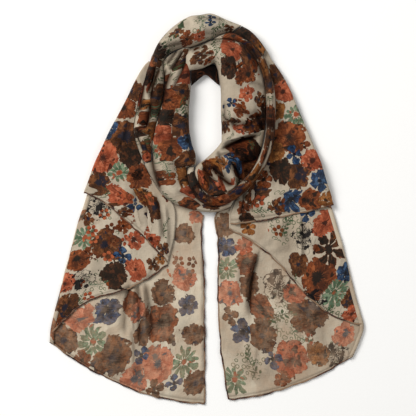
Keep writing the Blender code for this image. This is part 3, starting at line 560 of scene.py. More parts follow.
RIGHT_BAND_BEDS = [
    Bed(12, 236, 20, 1.0, 0, 0),
    Bed(50, 170, 22, 0, 0.7, 0),
    Bed(80, 214, 20, 0.5, 0.2, 0),
    Bed(76, 124, 22, 0, 0, 0, 0.62),
    Bed(86, 150, 14, 0, 0, 0, 0.5),
    Bed(40, 222, 18, 0, 0, 0.3, 0.5),
]
FRONT_KNOT_PRINT = rows_of(Motif, [
    (40, 88, 17, 0, "rust bloom"), (26, 66, 12, 0, "ochre flower"), (66, 82, 18, 0, "dark bloom"),
    (50, 60, 13, 30, "blue bloom"), (4, 60, 12, 0, "brown bloom"), (-6, 38, 12, 0, "rust bloom"),
    (20, 46, 11, 20, "terracotta flower"), (68, 98, 12, 60, "green spray"),
    (66, 56, 13, 0, "brown bloom"), (48, 38, 12, 0, "green spray"), (34, 76, 10, 0, "blue flower"),
    (6, 31, 12, 0, "brown bloom"), (18, 20, 9, 0, "dark bloom"),
    (-10, 54, 9, 0, "terracotta flower"),
])
FRONT_KNOT_BEDS = [
    Bed(60, 84, 26, 0, 0, 0, 0.75), Bed(58, 58, 20, 0, 0, 0, 0.68), Bed(6, 62, 16, 0, 0, 0, 0.6),
    Bed(-4, 34, 22, 0, 0, 0, 0.5), Bed(38, 104, 18, 0, 0, 0, 0.46),
]
# The neck's back lies deep inside the loop and is printed dark all over as painted shade: brushed patches
# everywhere and one dark bloom larger than the stretch.
NECK_BACK_SHADE_BEDS = [Bed(0, 206, 60, 0, 0, 0, 1.0)]
NECK_BACK_SHADE_PRINT = [Motif(6, 232, 72, 0, "dark bloom")]
LEFT_TOP_PRINT = rows_of(Motif, [
    (-116, 178, 20, 15, "brown bloom"), (-124, 152, 20, 15, "rust bloom"),
    (-146, 120, 17, 40, "blue bloom"), (-122, 106, 32, 0, "brown bloom"),
    (-156, 76, 29, 50, "terracotta bloom"), (-114, 78, 21, 35, "dark bloom"),
    (-130, 54, 20, 0, "daisy"), (-104, 48, 22, 20, "rust bloom"), (-162, 40, 20, 10, "brown bloom"),
    (-104, 50, 9, 0, "dark flower"), (-130, 22, 18, 40, "terracotta bloom"),
    (-94, 20, 16, 10, "ochre bloom"), (-152, 20, 12, 60, "green spray"),
    (-108, 2, 13, 0, "blue flower"), (-78, 2, 19, 15, "brown bloom"),
    (-124, -4, 11, 30, "brown flower"), (-64, -28, 16, 70, "green spray"),
    (-84, -46, 14, 15, "terracotta flower"), (-66, -60, 12, 70, "brown flower"),
    (-108, -18, 12, 60, "rust spray"), (-60, 12, 12, 100, "leaf"), (-142, -2, 12, 100, "leaf"),
])
LEFT_TOP_BEDS = [
    Bed(-110, 12, 26, 0, 0.6, 0),
    Bed(-70, -40, 20, 0, 0.5, 0),
    Bed(-144, 102, 22, 0.6, 0, 0),
    Bed(-120, 130, 30, 0, 0, 0, 0.4),
]
LEFT_MIDDLE_PRINT = rows_of(Motif, [
    (-162, 2, 19, 25, "ink flower"), (-178, -14, 12, 70, "brown flower"),
    (-182, -44, 21, 40, "daisy"), (-126, -26, 13, 0, "rust flower"),
    (-152, -54, 27, 15, "brown bloom"), (-108, -46, 15, 60, "terracotta flower"),
    (-126, -70, 15, 0, "blue flower"), (-80, -84, 11, 50, "brown flower"),
    (-106, -92, 17, 60, "terracotta bloom"), (-194, -76, 20, 20, "rust bloom"),
    (-186, -104, 19, 0, "ink flower"), (-212, -112, 19, 5, "terracotta bloom"),
    (-138, -98, 21, 200, "dark bloom"), (-162, -114, 16, 15, "sage spray"),
    (-212, -146, 24, 30, "brown bloom"), (-188, -132, 14, 80, "green spray"),
    (-70, -76, 9, 20, "ochre flower"), (-150, 40, 20, 0, "terracotta flower"),
    (-222, -172, 12, 0, "rust flower"), (-174, -66, 11, 120, "rust leaf"),
])
LEFT_MIDDLE_BEDS = [Bed(-150, -36, 38, 0.2, 0.7, 0), Bed(-172, -118, 26, 0.6, 0.3, 0)]
LEFT_UNDER_PRINT = rows_of(Motif, [
    (-190, -166, 21, 10, "salmon bloom"), (-214, -196, 23, 45, "brown bloom"),
    (-170, -200, 25, 0, "daisy"), (-150, -152, 21, 30, "blue bloom"),
    (-188, -228, 15, 30, "rust flower"), (-142, -224, 33, 15, "brown bloom"),
    (-118, -142, 18, 15, "rust bloom"), (-102, -150, 16, 10, "salmon bloom"),
    (-98, -186, 18, 10, "brown bloom"), (-108, -254, 21, 20, "salmon bloom"),
    (-98, -220, 13, 70, "blue flower"), (-66, -126, 20, 25, "brown bloom"),
    (-34, -104, 18, 0, "salmon bloom"), (-66, -172, 29, 0, "rust bloom"),
    (-62, -166, 10, 0, "dark flower"), (-28, -146, 16, 0, "blue bloom"),
    (-20, -188, 17, 15, "brown bloom"), (-48, -202, 15, 120, "leaf"),
    (-74, -234, 28, 50, "salmon bloom"), (-34, -230, 22, 5, "daisy"),
    (-50, -262, 14, 5, "blue flower"), (-16, -262, 19, 5, "brown bloom"),
    (-34, -38, 18, 30, "brown bloom"), (-14, -12, 12, 30, "salmon bloom"),
    (-46, -82, 15, 100, "rust spray"), (-78, -270, 14, 10, "brown flower"),
    (-160, -238, 14, 20, "brown spray"), (-188, -10, 12, 0, "rust flower"),
    (-202, -62, 10, 0, "rust flower"), (-224, -134, 22, 0, "brown bloom"),
    (-234, -180, 14, 0, "rust bloom"), (-172, 46, 24, 0, "terracotta bloom"),
    (-150, 90, 24, 0, "rust bloom"),
])
LEFT_UNDER_BEDS = [
    Bed(-148, -250, 24, 0, 0.7, 0.4), Bed(-40, -88, 22, 0, 0.5, 0), Bed(-104, -150, 22, 0, 0, 0, 0.6),
    Bed(-56, -176, 36, 0, 0, 0.2, 0.4),
]
RIGHT_TOP_PRINT = rows_of(Motif, [
    (102, 200, 16, 20, "brown bloom"), (114, 176, 17, 20, "terracotta bloom"),
    (104, 146, 15, 35, "ochre bloom"), (134, 140, 19, 60, "daisy"), (122, 108, 28, 0, "rust bloom"),
    (102, 86, 19, 15, "ochre bloom"), (130, 80, 14, 20, "blue flower"),
    (158, 74, 19, 20, "terracotta bloom"), (110, 58, 21, 10, "dark bloom"),
    (86, 44, 14, 10, "rust flower"), (138, 48, 22, 30, "brown bloom"),
    (168, 42, 17, 0, "blue bloom"), (72, 22, 18, 0, "brown bloom"), (126, 14, 18, 0, "blue bloom"),
    (152, 12, 18, 0, "rust bloom"), (178, 12, 14, 0, "ochre flower"), (54, 2, 14, 0, "rust flower"),
    (80, -2, 15, 0, "green spray"), (104, 0, 12, 0, "brown flower"),
    (60, -16, 12, 0, "dark flower"), (92, 66, 13, 140, "leaf"), (146, 92, 12, 60, "rust leaf"),
])
RIGHT_TOP_BEDS = [Bed(94, 8, 26, 0.5, 0.3, 0), Bed(142, 120, 22, 0.4, 0.2, 0)]
RIGHT_MIDDLE_PRINT = rows_of(Motif, [
    (176, -20, 20, 20, "terracotta bloom"), (150, -8, 13, 0, "blue flower"),
    (120, -20, 22, 60, "green spray"), (62, -28, 13, 10, "ochre flower"),
    (146, -42, 20, 0, "ink flower"), (182, -60, 30, 22, "star bloom"),
    (138, -84, 19, 45, "brown bloom"), (166, -104, 31, 75, "rust bloom"),
    (208, -96, 17, 0, "blue bloom"), (192, -126, 22, 60, "daisy"), (162, -134, 18, 0, "ink flower"),
    (218, -132, 16, 0, "brown bloom"), (216, -158, 14, 100, "terracotta flower"),
    (188, -150, 14, 60, "green spray"), (200, -40, 11, 0, "brown flower"),
    (130, -108, 12, 60, "sage spray"), (160, -66, 11, 60, "rust leaf"),
])
RIGHT_MIDDLE_BEDS = [
    Bed(118, -26, 26, 1.0, 0.2, 0), Bed(188, -150, 22, 0.9, 0, 0.2), Bed(148, -52, 20, 0, 0, 0.4),
]
RIGHT_UNDER_PRINT = rows_of(Motif, [
    (26, -26, 18, 10, "brown bloom"), (28, -58, 17, 50, "blue bloom"), (30, -90, 19, 50, "daisy"),
    (56, -54, 14, 20, "terracotta flower"), (60, -80, 20, 15, "rust bloom"),
    (34, -126, 22, 40, "salmon bloom"), (66, -118, 23, 60, "brown bloom"),
    (104, -116, 24, 30, "ink flower"), (80, -148, 20, 60, "rust bloom"),
    (132, -130, 18, 60, "terracotta bloom"), (34, -160, 14, 20, "brown flower"),
    (54, -184, 18, 15, "blue bloom"), (112, -160, 24, 15, "green spray"),
    (84, -190, 25, 15, "brown bloom"), (154, -160, 28, 0, "brown bloom"),
    (138, -192, 22, -30, "sage spray"), (208, -188, 19, 30, "salmon bloom"),
    (64, -226, 24, 110, "green spray"), (98, -226, 15, 15, "blue flower"),
    (128, -226, 27, 20, "terracotta bloom"), (166, -218, 19, 10, "ochre bloom"),
    (192, -218, 20, 60, "ink flower"), (40, -256, 22, 20, "daisy"),
    (112, -256, 13, 0, "rust flower"), (214, -158, 12, 40, "rust flower"),
    (184, 10, 12, 40, "rust bloom"), (212, -84, 14, 40, "green spray"),
    (130, 156, 20, 40, "rust bloom"),
])
RIGHT_UNDER_BEDS = [
    Bed(112, -160, 38, 1.0, 0, 0.2),
    Bed(62, -232, 24, 0.9, 0.2, 0.2),
    Bed(140, -198, 24, 0.6, 0.3, 0),
    Bed(200, -212, 20, 0.4, 0, 0.3),
]


# ---- curves and fields

def through_rows(rows, spacing):
    """A table's rows at even spacing on a smooth curve through them, and their places."""
    table = np.array(rows, dtype=float)
    middle = (table[:, 0:2] + table[:, 2:4]) / 2
    spans = np.linalg.norm(np.diff(middle, axis=0), axis=1)[:, None]
    knots = np.concatenate([[0.0], np.cumsum(spans)])
    secants = np.diff(table, axis=0) / spans
    slopes = np.concatenate([secants[:1], secants])
    slopes[1:-1] = (secants[:-1] * spans[1:] + secants[1:] * spans[:-1]) / (spans[:-1] + spans[1:])
    places = np.linspace(0.0, knots[-1], round(knots[-1] / spacing) + 1)
    piece = np.clip(np.searchsorted(knots, places, side="right") - 1, 0, len(spans) - 1)
    span = spans[piece]
    share = (places - knots[piece])[:, None] / span
    left = 1 - share
    smooth = (
        (1 + 2 * share) * left ** 2 * table[piece]
        + share * left ** 2 * span * slopes[piece]
        + share ** 2 * (3 - 2 * share) * table[piece + 1]
        - share ** 2 * left * span * slopes[piece + 1]
    )
    return smooth, places


def soft_noise(x, y, seed):
    """Smooth noise from -1 to 1 at places x, y."""
    lattice = np.random.default_rng(seed).uniform(-1, 1, (NOISE_TILE, NOISE_TILE))
    column, line = np.floor(x).astype(int), np.floor(y).astype(int)
    across, along = x - column, y - line
    across = across * across * (3 - 2 * across)
    along = along * along * (3 - 2 * along)

    def corner(right, up):
        return lattice[(line + up) % NOISE_TILE, (column + right) % NOISE_TILE]

    low = corner(0, 0) * (1 - across) + corner(1, 0) * across
    high = corner(0, 1) * (1 - across) + corner(1, 1) * across
    return low * (1 - along) + high * along


def crumple(across, along, seed):
    """Fine creases of soft muslin in mm, longer along the cloth than across it."""
    bend = WAVE * soft_noise(across / WAVE_SIZE[0], along / WAVE_SIZE[1], seed)
    long_noise = soft_noise((across + bend) / LONG_SIZE[0], along / LONG_SIZE[1], seed + 1)
    short_noise = soft_noise((across + bend) / SHORT_SIZE[0], (along + bend) / SHORT_SIZE[1], seed + 2)
    return LONG_CREASE * (1 - np.abs(long_noise) * 2) + SHORT_CREASE * (1 - np.abs(short_noise) * 2)


def fold_line(fold):
    """Points along a fold's bowed line."""
    start, end = np.array((fold.x0, fold.y0)), np.array((fold.x1, fold.y1))
    run = end - start
    aside = np.array((-run[1], run[0])) / np.linalg.norm(run)
    pull = (start + end) / 2 + aside * 2 * fold.bend
    share = np.linspace(0, 1, FOLD_PATH_STEPS + 1)[:, None]
    return start * (1 - share) ** 2 + pull * 2 * share * (1 - share) + end * share ** 2


def fold_height(x, y, fold):
    """A fold's height at places x, y and how far it moves the print, both in mm."""
    line = fold_line(fold)
    best = np.full(x.shape, np.inf)
    side = np.zeros(x.shape)
    along = np.zeros(x.shape)
    for step in range(FOLD_PATH_STEPS):
        start, run = line[step], line[step + 1] - line[step]
        from_x, from_y = x - start[0], y - start[1]
        share = np.clip((from_x * run[0] + from_y * run[1]) / run.dot(run), 0, 1)
        gap = np.hypot(from_x - share * run[0], from_y - share * run[1])
        closer = gap < best
        best = np.where(closer, gap, best)
        side = np.where(closer, np.sign(run[0] * from_y - run[1] * from_x), side)
        along = np.where(closer, (step + share) / FOLD_PATH_STEPS, along)
    fade = np.clip(np.minimum(along, 1 - along) / FOLD_FADE, 0, 1)
    fade = fade * fade * (3 - 2 * fade)
    width = np.where(side > 0, fold.left, fold.right)
    if fold.height < 0:
        shape = np.exp(-np.sqrt(best ** 2 + CREASE_BOTTOM ** 2) / width)
    else:
        shape = np.exp(-(best / width) ** CREST_POWER)
    lost = min(fold.height, 0) * -HIDDEN_CLOTH * np.tanh(best * side / HIDDEN_STEP)
    return fold.height * fade * shape, lost * fade * np.exp(-best / HIDDEN_REACH)


def all_folds(x, y, folds):
    """The height, the print's shift and the depth of the grooves of several folds together."""
    height, shift, depth = np.zeros(x.shape), np.zeros(x.shape), np.zeros(x.shape)
    for fold in folds:
        more_height, more_shift = fold_height(x, y, fold)
        height += more_height
        shift += more_shift
        depth = np.maximum(depth, -more_height)
    return height, shift, depth


# ---- forms: the points of a sheet and the places on its cloth, in lines and columns

def section_frame(table):
    """The outer point, the inward direction and the width of every section."""
    outer, inner = table[:, 0:2], table[:, 2:4]
    width = np.linalg.norm(inner - outer, axis=1)[:, None]
    return outer, (inner - outer) / width, width


def stack(outer, inward, distance, height):
    """Points in space from distances along the sections and heights."""
    flat = outer[:, None, :] + inward[:, None, :] * distance[:, :, None]
    return np.concatenate([flat, height[:, :, None]], axis=2)


def run_length(points):
    """How far along its line each point is, from the first column."""
    steps = np.linalg.norm(np.diff(points, axis=1), axis=2)
    return np.concatenate([np.zeros((len(points), 1)), np.cumsum(steps, axis=1)], axis=1)


def loop_form(rows, folds, seed, start_bow=0.0):
    """A rounded fold of the loop: tucked under, up its side, over and down again."""
    table, places = through_rows(rows, step_size())
    outer, inward, width = section_frame(table)
    outer_z, crest_z, inner_z = (table[:, field:field + 1] for field in (4, 5, 6))
    side = np.minimum(SIDE_ROUND, SIDE_SHARE * width)
    tuck = np.linspace(TUCK, 0, TUCK_STEPS, endpoint=False)[None, :] * np.ones_like(width)
    turn = np.linspace(-math.pi / 2, 0, SIDE_STEPS, endpoint=False)[None, :]
    dome_steps = max(MIN_DOME_STEPS, round(DOME_STRETCH * width.max() / step_size()))
    across = (1 - np.cos(np.pi * np.linspace(0, 1, dome_steps + 1)))[None, :] / 2
    round_in = side * (1 - np.cos(turn))
    swell = (1 - np.abs(2 * across - 1) ** DOME_POWER) ** (1 / DOME_POWER)
    edge_z = outer_z + (inner_z - outer_z) * across
    dome_z = edge_z + (crest_z - edge_z) * swell
    floor = np.full_like(tuck, FLOOR_GAP + CLOTH)
    distance = np.concatenate([
        FOLD_GAP + np.minimum(side + tuck, width / 2),
        FOLD_GAP + round_in,
        FOLD_GAP + (width - 2 * FOLD_GAP) * across,
        (width - FOLD_GAP - round_in)[:, ::-1],
        (width - FOLD_GAP - np.minimum(side + tuck, width / 2))[:, ::-1],
    ], axis=1)
    height = np.concatenate([
        floor,
        outer_z + (outer_z - floor[:, :1]) * np.sin(turn),
        dome_z,
        (inner_z + (inner_z - floor[:, :1]) * np.sin(turn))[:, ::-1],
        floor[:, ::-1],
    ], axis=1)
    points = stack(outer, inward, distance, height)
    share = distance / width
    points[:, :, 1] += 4 * share * (1 - share) * start_bow * np.exp(-places / BOW_FADE)[:, None]
    below = TUCK_STEPS + SIDE_STEPS
    free = np.zeros(distance.shape)
    free[:, below:below + dome_steps + 1] = swell ** 0.5
    along_run = run_length(points)
    cloth_u = along_run - along_run[:, along_run.shape[1] // 2][:, None]
    cloth_v = np.broadcast_to(places[:, None], cloth_u.shape)
    height, shift, depth = all_folds(points[:, :, 0], points[:, :, 1], folds)
    points[:, :, 2] += free * (height + crumple(cloth_u, cloth_v, seed))
    points[:, :, 2] = np.maximum(points[:, :, 2], FLOOR_GAP + CLOTH)
    # painted shade: darker in deep grooves and where the dome turns down at its sides
    painted_shade_and_stitches = np.maximum(depth / PAINTED_SHADE_DEPTH, SIDE_PAINTED_SHADE * (1 - free) ** 2)
    return points, np.stack([cloth_u + shift * free, cloth_v], axis=2), np.minimum(painted_shade_and_stitches, 1)


def laid_part(width, radius, steps):
    """Distances from a layer's inner edge out to where it turns."""
    share = np.linspace(0, 1, steps, endpoint=False)[None, :]
    return (width - SEAM) + (radius - width + SEAM) * share


def under_section(fold, width, steps):
    """The bottom layer from its inner edge out, round its edge and a little way back."""
    radius = (fold - UNDER_DROP) / 2
    lowest = FLOOR_GAP + CLOTH
    out = laid_part(width, radius, steps)
    flat_z = WALL - (WALL - lowest) * np.exp(-((out - radius) / UNDER_SLOPE) ** 2)
    turn = np.linspace(-math.pi / 2, math.pi / 2, SIDE_STEPS)[None, :]
    back = radius + np.minimum(TURN_BACK, TURN_SHARE * (width - radius))
    distance = np.concatenate([out, radius * (1 - np.cos(turn)), back], axis=1)
    top = lowest + 2 * radius
    height = np.concatenate([flat_z, lowest + radius * (1 + np.sin(turn)), top], axis=1)
    return distance, height


def middle_section(fold, width, steps):
    """The middle layer from its inner edge out, over the turned edge and down on it."""
    radius = MIDDLE_ROUND
    resting = 2 * WALL + LAYER_GAP
    out = laid_part(width, radius, steps)
    flat_z = resting + (fold - resting) * np.exp(-((out - radius) / UNDER_SLOPE) ** 2)
    turn = np.linspace(math.pi / 2, 0, SIDE_STEPS)[None, :]
    distance = np.concatenate([out, radius * (1 - np.cos(turn)) + 0 * width], axis=1)
    height = np.concatenate([flat_z, fold - radius * (1 - np.sin(turn))], axis=1)
    return distance, height


def top_section(fold, lift, width, steps):
    """The top layer from its inner edge out, round its outer edge and back underneath."""
    radius = fold / 2
    floor = lift + LAYER_GAP
    resting = 3 * WALL + 2 * LAYER_GAP
    out = laid_part(width, radius, steps)
    rise = floor + fold - resting
    flat_z = resting + rise * np.exp(-((out - radius) / TOP_SLOPE) ** 2)
    turn = np.linspace(math.pi / 2, -math.pi / 2, SIDE_STEPS)[None, :]
    back = radius + np.minimum(TURN_UNDER, TURN_SHARE * (width - radius))
    distance = np.concatenate([out, radius * (1 - np.cos(turn)), back], axis=1)
    height = np.concatenate([flat_z, floor + radius * (1 + np.sin(turn)), floor], axis=1)
    return distance, height


def tail_form(rows, layer, folds, seed):
    """One layer of an end of the scarf, from its inner edge out and round its fold."""
    table, places = through_rows(rows, step_size())
    outer, inward, width = section_frame(table)
    fold, lift, bow, sway = (table[:, field:field + 1] for field in (4, 5, 6, 7))
    edge = np.gradient(outer, axis=0)
    edge /= np.linalg.norm(edge, axis=1)[:, None]
    lean = np.abs(edge[:, :1] * inward[:, 1:] - edge[:, 1:] * inward[:, :1])
    steps = round(width.max() / step_size())
    if layer == "under":
        distance, height = under_section(fold, width * lean, steps)
    elif layer == "middle":
        distance, height = middle_section(fold, width * lean, steps)
    else:
        distance, height = top_section(fold, lift, width * lean, steps)
    distance = distance / lean
    points = stack(outer, inward, distance, height)
    share = distance / width
    points[:, :, 1] -= 4 * share * (1 - share) * bow + np.sin(math.tau * share) * sway
    x, y = points[:, :, 0], points[:, :, 1]
    rise, shift, depth = all_folds(x, y, folds)
    points[:, :, 2] += rise + CRUMPLE_LIFT + crumple(x, y * END_STRETCH, seed)
    points[:, :, 2] = np.maximum(points[:, :, 2], FLOOR_GAP + CLOTH + WALL * LAYER_ORDER[layer])
    run = run_length(points)[:, :, None]
    cloth = points[:, :1, 0:2] - inward[:, None, :] * run
    cloth[:, :, 0] += shift * END_SHIFT
    # a real dark line of stitches near the hem, and painted shade in the deep grooves
    from_hem = (places[-1] - places)[:, None]
    stitched = STITCH_TONE * np.exp(-((from_hem - STITCH_FROM_EDGE) / STITCH_WIDTH) ** 2)
    return points, cloth, np.minimum(np.maximum(depth / PAINTED_SHADE_DEPTH, stitched), 1)


# ---- meshes

def new_object(name, data):
    """A new object in the scene."""
    made = bpy.data.objects.new(name, data)
    bpy.context.scene.collection.objects.link(made)
    return made


def mesh_of(bm, name):
    """A mesh from a bmesh, which is freed."""
    mesh = bpy.data.meshes.new(name)
    bm.to_mesh(mesh)
    bm.free()
    return mesh


def field_of(items, label, width=1, kind=float):
    """One field of all items as an array."""
    values = np.empty(len(items) * width, dtype=kind)
    items.foreach_get(label, values)
    return values.reshape(-1, width) if width > 1 else values


def add_field(mesh, name, kind, domain, values):
    """A new attribute of a mesh, of numbers or of vectors."""
    data = mesh.attributes.new(name, kind, domain).data
    data.foreach_set("value" if kind == "FLOAT" else "vector", values.ravel())


def sheet_mesh(name, points, cloth, painted_shade_and_stitches):
    """A grid of faces on a form's points, with its cloth's places as a UV map in metres."""
    lines, columns = points.shape[:2]
    bm = bmesh.new()
    bmesh.ops.create_grid(bm, x_segments=columns - 1, y_segments=lines - 1, size=0.5)
    mesh = mesh_of(bm, name)
    plain = field_of(mesh.vertices, "co", 3)
    column = np.rint((plain[:, 0] + 0.5) * (columns - 1)).astype(int)
    line = np.rint((plain[:, 1] + 0.5) * (lines - 1)).astype(int)
    mesh.vertices.foreach_set("co", (points[line, column] * MM).ravel())
    mesh.update()
    normals = field_of(mesh.polygons, "normal", 3)
    if (normals[:, 2] * field_of(mesh.polygons, "area")).sum() < 0:
        mesh.flip_normals()
    mesh.shade_smooth()
    corners = field_of(mesh.loops, "vertex_index", kind=int)
    cloth_map = cloth[line, column]
    mesh.uv_layers.new(name="cloth").data.foreach_set("uv", (cloth_map[corners] * MM).ravel())
    # painted shade in grooves and along fold sides, with the stitch line near a hem, at each point
    add_field(mesh, "painted_shade_and_stitches", "FLOAT", "POINT", painted_shade_and_stitches[line, column])
    return mesh, points[line, column], cloth_map, corners


def lay_motifs(mesh, layer, motifs, places, cloth, corners):
    """Give every face its nearest motif: a UV map round its middle, its form and tint."""
    sides = len(corners) // len(mesh.polygons)
    face_cloth = cloth[corners].reshape(-1, sides, 2).mean(axis=1)
    nearest = np.full(len(face_cloth), MOTIF_REACH)
    chosen = np.full(len(face_cloth), -1)
    middles, turns, sizes, forms, tints = [], [], [], [], []
    for index, motif in enumerate(motifs):
        gap = np.hypot(places[:, 0] - motif.x, places[:, 1] - motif.y) - places[:, 2] * TOP_FIRST
        middle = cloth[np.argmin(gap)]
        wander = soft_noise(face_cloth[:, 0] / WANDER, face_cloth[:, 1] / WANDER, index)
        reach = np.linalg.norm(face_cloth - middle, axis=1) / motif.size + wander * WANDER_SHARE
        closer = reach < nearest
        nearest[closer] = reach[closer]
        chosen[closer] = index
        kind = KINDS[motif.kind]
        middles.append(middle)
        turns.append(math.radians(motif.turn))
        sizes.append(motif.size)
        forms.append((kind.petals, kind.middle, kind.breadth))
        tints.append((kind.tint, (index * SEED_STEP) % 1, kind.style))
    face_of = np.repeat(np.arange(len(face_cloth)), sides)
    own = chosen[face_of]
    local = np.full((len(corners), 2), FAR_AWAY)
    some = own >= 0
    if some.any():
        offset = (cloth[corners] - np.array(middles)[own])[some]
        turn = np.array(turns)[own[some]]
        size = np.array(sizes)[own[some]]
        local[some, 0] = (offset[:, 0] * np.cos(turn) + offset[:, 1] * np.sin(turn)) / size
        local[some, 1] = (offset[:, 1] * np.cos(turn) - offset[:, 0] * np.sin(turn)) / size
    mesh.uv_layers.new(name=layer).data.foreach_set("uv", local.ravel())
    for label, values in (("form", forms), ("tint", tints)):
        values = np.array(values or [NO_MOTIF])[chosen]
        add_field(mesh, f"{layer}_{label}", "FLOAT_VECTOR", "FACE", values)


def sow_beds(mesh, beds, places):
    """How much of each thing a bed can hold there is at each point of a sheet."""
    amounts = np.zeros((len(places), 4))
    for bed in beds:
        gap = np.hypot(places[:, 0] - bed.x, places[:, 1] - bed.y) / bed.size
        here = np.clip(BED_EDGE - BED_EDGE * gap + 0.5, 0, 1)[:, None]
        amounts = np.maximum(amounts, here * np.array([bed[3:]]))
    add_field(mesh, "garden", "FLOAT_VECTOR", "POINT", amounts[:, :3])
    add_field(mesh, "painted", "FLOAT", "POINT", amounts[:, 3].copy())


def cloth_piece(name, form, motifs, beds, finish):
    """A printed sheet of cloth from a form, with its thickness."""
    mesh, places, cloth_map, corners = sheet_mesh(name, *form)
    for layer in LAYERS:
        own = [motif for motif in motifs if KINDS[motif.kind].layer == layer]
        lay_motifs(mesh, layer, own, places, cloth_map, corners)
    sow_beds(mesh, beds, places)
    mesh.materials.append(finish)
    piece = new_object(name, mesh)
    shell = piece.modifiers.new("thickness", "SOLIDIFY")
    shell.thickness = CLOTH * MM
    shell.offset = -1.0
    return piece


def hem_piece(name, path, finish):
    """A narrow rolled hem along a line of points, a little uneven."""
    path = np.array(path)
    steps = np.linalg.norm(np.diff(path, axis=0), axis=1)
    knots = np.concatenate([[0.0], np.cumsum(steps)])
    places = np.linspace(0.0, knots[-1], round(knots[-1] / step_size()) + 1)
    line = np.stack([np.interp(places, knots, path[:, axis]) for axis in range(3)], axis=1)
    run = np.gradient(line, axis=0)
    run /= np.linalg.norm(run, axis=1)[:, None]
    aside = np.stack([-run[:, 1], run[:, 0], np.zeros(len(run))], axis=1)
    aside /= np.linalg.norm(aside, axis=1)[:, None]
    wobble = soft_noise(places / HEM_WAVES, places * 0, HEM_SEED)
    line = line + aside * (wobble * HEM_WOBBLE)[:, None]
    radius = HEM_RADIUS * (1 + HEM_VARIES * soft_noise(places / HEM_BUMPS, places * 0, HEM_SEED + 1))
    bm = bmesh.new()
    bmesh.ops.create_grid(bm, x_segments=HEM_SIDES, y_segments=len(line) - 1, size=0.5)
    for vert in bm.verts:
        side = round((vert.co.x + 0.5) * HEM_SIDES) % HEM_SIDES
        place = round((vert.co.y + 0.5) * (len(line) - 1))
        angle = math.tau * side / HEM_SIDES
        out = aside[place] * math.cos(angle) * radius[place] * HEM_FLAT
        up = math.sin(angle) * radius[place]
        vert.co = [float(value) * MM for value in line[place] + out + np.array((0, 0, up))]
    bmesh.ops.remove_doubles(bm, verts=bm.verts, dist=SAME_POINT * MM)
    ends = [edge for edge in bm.edges if edge.is_boundary]
    bmesh.ops.holes_fill(bm, edges=ends, sides=0)
    bmesh.ops.recalc_face_normals(bm, faces=bm.faces)
    mesh = mesh_of(bm, name)
    mesh.shade_smooth()
    mesh.materials.append(finish)
    return new_object(name, mesh)


def hem_path(form, line, share_from=0.0, share_to=1.0):
    """The visible points of a form's line, up to its outermost one, lifted onto it."""
    points = form[0]
    row = points[line]
    outermost = int(np.argmax(np.linalg.norm(row[:, 0:2] - row[0, 0:2], axis=1)))
    first = int(outermost * share_from)
    last = max(int(outermost * share_to), first + 2)
    return row[first:last + 1] + np.array((0, 0, HEM_LIFT))


def edge_path(form, column, line_from, line_to):
    """The points down one column of a form, from one share of its length to another."""
    points = form[0]
    first = int(line_from * (len(points) - 1))
    last = int(line_to * (len(points) - 1))
    return points[first:last + 1, column] + np.array((0, 0, HEM_LIFT))


# ---- finishes

class Value:
    """A socket to reckon with: every step adds a node to the socket's own tree."""

    def __init__(self, socket):
        self.socket = socket

    def output(self, key):
        """Another output of the same node."""
        return Value(self.socket.node.outputs[key])

    def __add__(self, other):
        return reckon("ADD", self, other)

    def __sub__(self, other):
        return reckon("SUBTRACT", self, other)

    def __rsub__(self, other):
        return reckon("SUBTRACT", other, self)

    def __mul__(self, other):
        return reckon("MULTIPLY", self, other)

    def __truediv__(self, other):
        return reckon("DIVIDE", self, other)

    def __rtruediv__(self, other):
        return reckon("DIVIDE", other, self)

    def __lt__(self, other):
        return reckon("LESS_THAN", self, other)

    def __abs__(self):
        return reckon("ABSOLUTE", self)


def linear(colour):
    """A socket's colour from an sRGB colour of 0 to 255."""
    shares = [level / 255 for level in colour]
    values = [share / 12.92 if share <= 0.04045 else ((share + 0.055) / 1.055) ** 2.4 for share in shares]
    return (*values, 1.0)


def feed(sockets, inputs):
    """Link each socket to its value, or set it."""
    for key, value in inputs.items():
        if isinstance(value, Value):
            value.socket.id_data.links.new(value.socket, sockets[key])
        else:
            sockets[key].default_value = value


def node(kind, inputs, tree=None, output=0, **settings):
    """An output of a new node, in the tree of the values that go into it."""
    for value in inputs.values():
        tree = value.socket.id_data if isinstance(value, Value) else tree
    made = tree.nodes.new(kind)
    for label, value in settings.items():
        setattr(made, label, value)
    feed(made.inputs, inputs)
    return Value(made.outputs[output])


def reckon(operation, *values, clamp=False):
    """The result of a Math node."""
    return node("ShaderNodeMath", dict(enumerate(values)), operation=operation, use_clamp=clamp)


def moved(vector, other, operation="ADD"):
    """A vector with another one added, or taken off."""
    return node("ShaderNodeVectorMath", {0: vector, 1: other}, operation=operation)


def scaled(vector, scale):
    """A vector times a number."""
    return node("ShaderNodeVectorMath", {0: vector, "Scale": scale}, operation="SCALE")


def joined(x, y, z=0.0):
    """A vector from its three numbers."""
    return node("ShaderNodeCombineXYZ", {0: x, 1: y, 2: z})


def parts(vector, kind="ShaderNodeSeparateXYZ"):
    """The three numbers in a vector."""
    first = node(kind, {0: vector})
    return [first.output(index) for index in range(3)]


def colour_parts(colour):
    """The three numbers in a colour."""
    return parts(colour, "ShaderNodeSeparateColor")


def polar(vector):
    """A vector's length in its plane and its angle."""
    x, y, _ = parts(vector)
    length = node("ShaderNodeVectorMath", {0: joined(x, y)}, output="Value", operation="LENGTH")
    return length, reckon("ARCTAN2", y, x)


def mixed(factor, first, second):
    """Two numbers mixed."""
    return node("ShaderNodeMix", {0: factor, 2: first, 3: second})


def blend(factor, first, second, mode="MIX"):
    """Two colours mixed."""
    inputs = {0: factor, 6: first, 7: second}
    return node("ShaderNodeMix", inputs, output=2, data_type="RGBA", blend_type=mode)


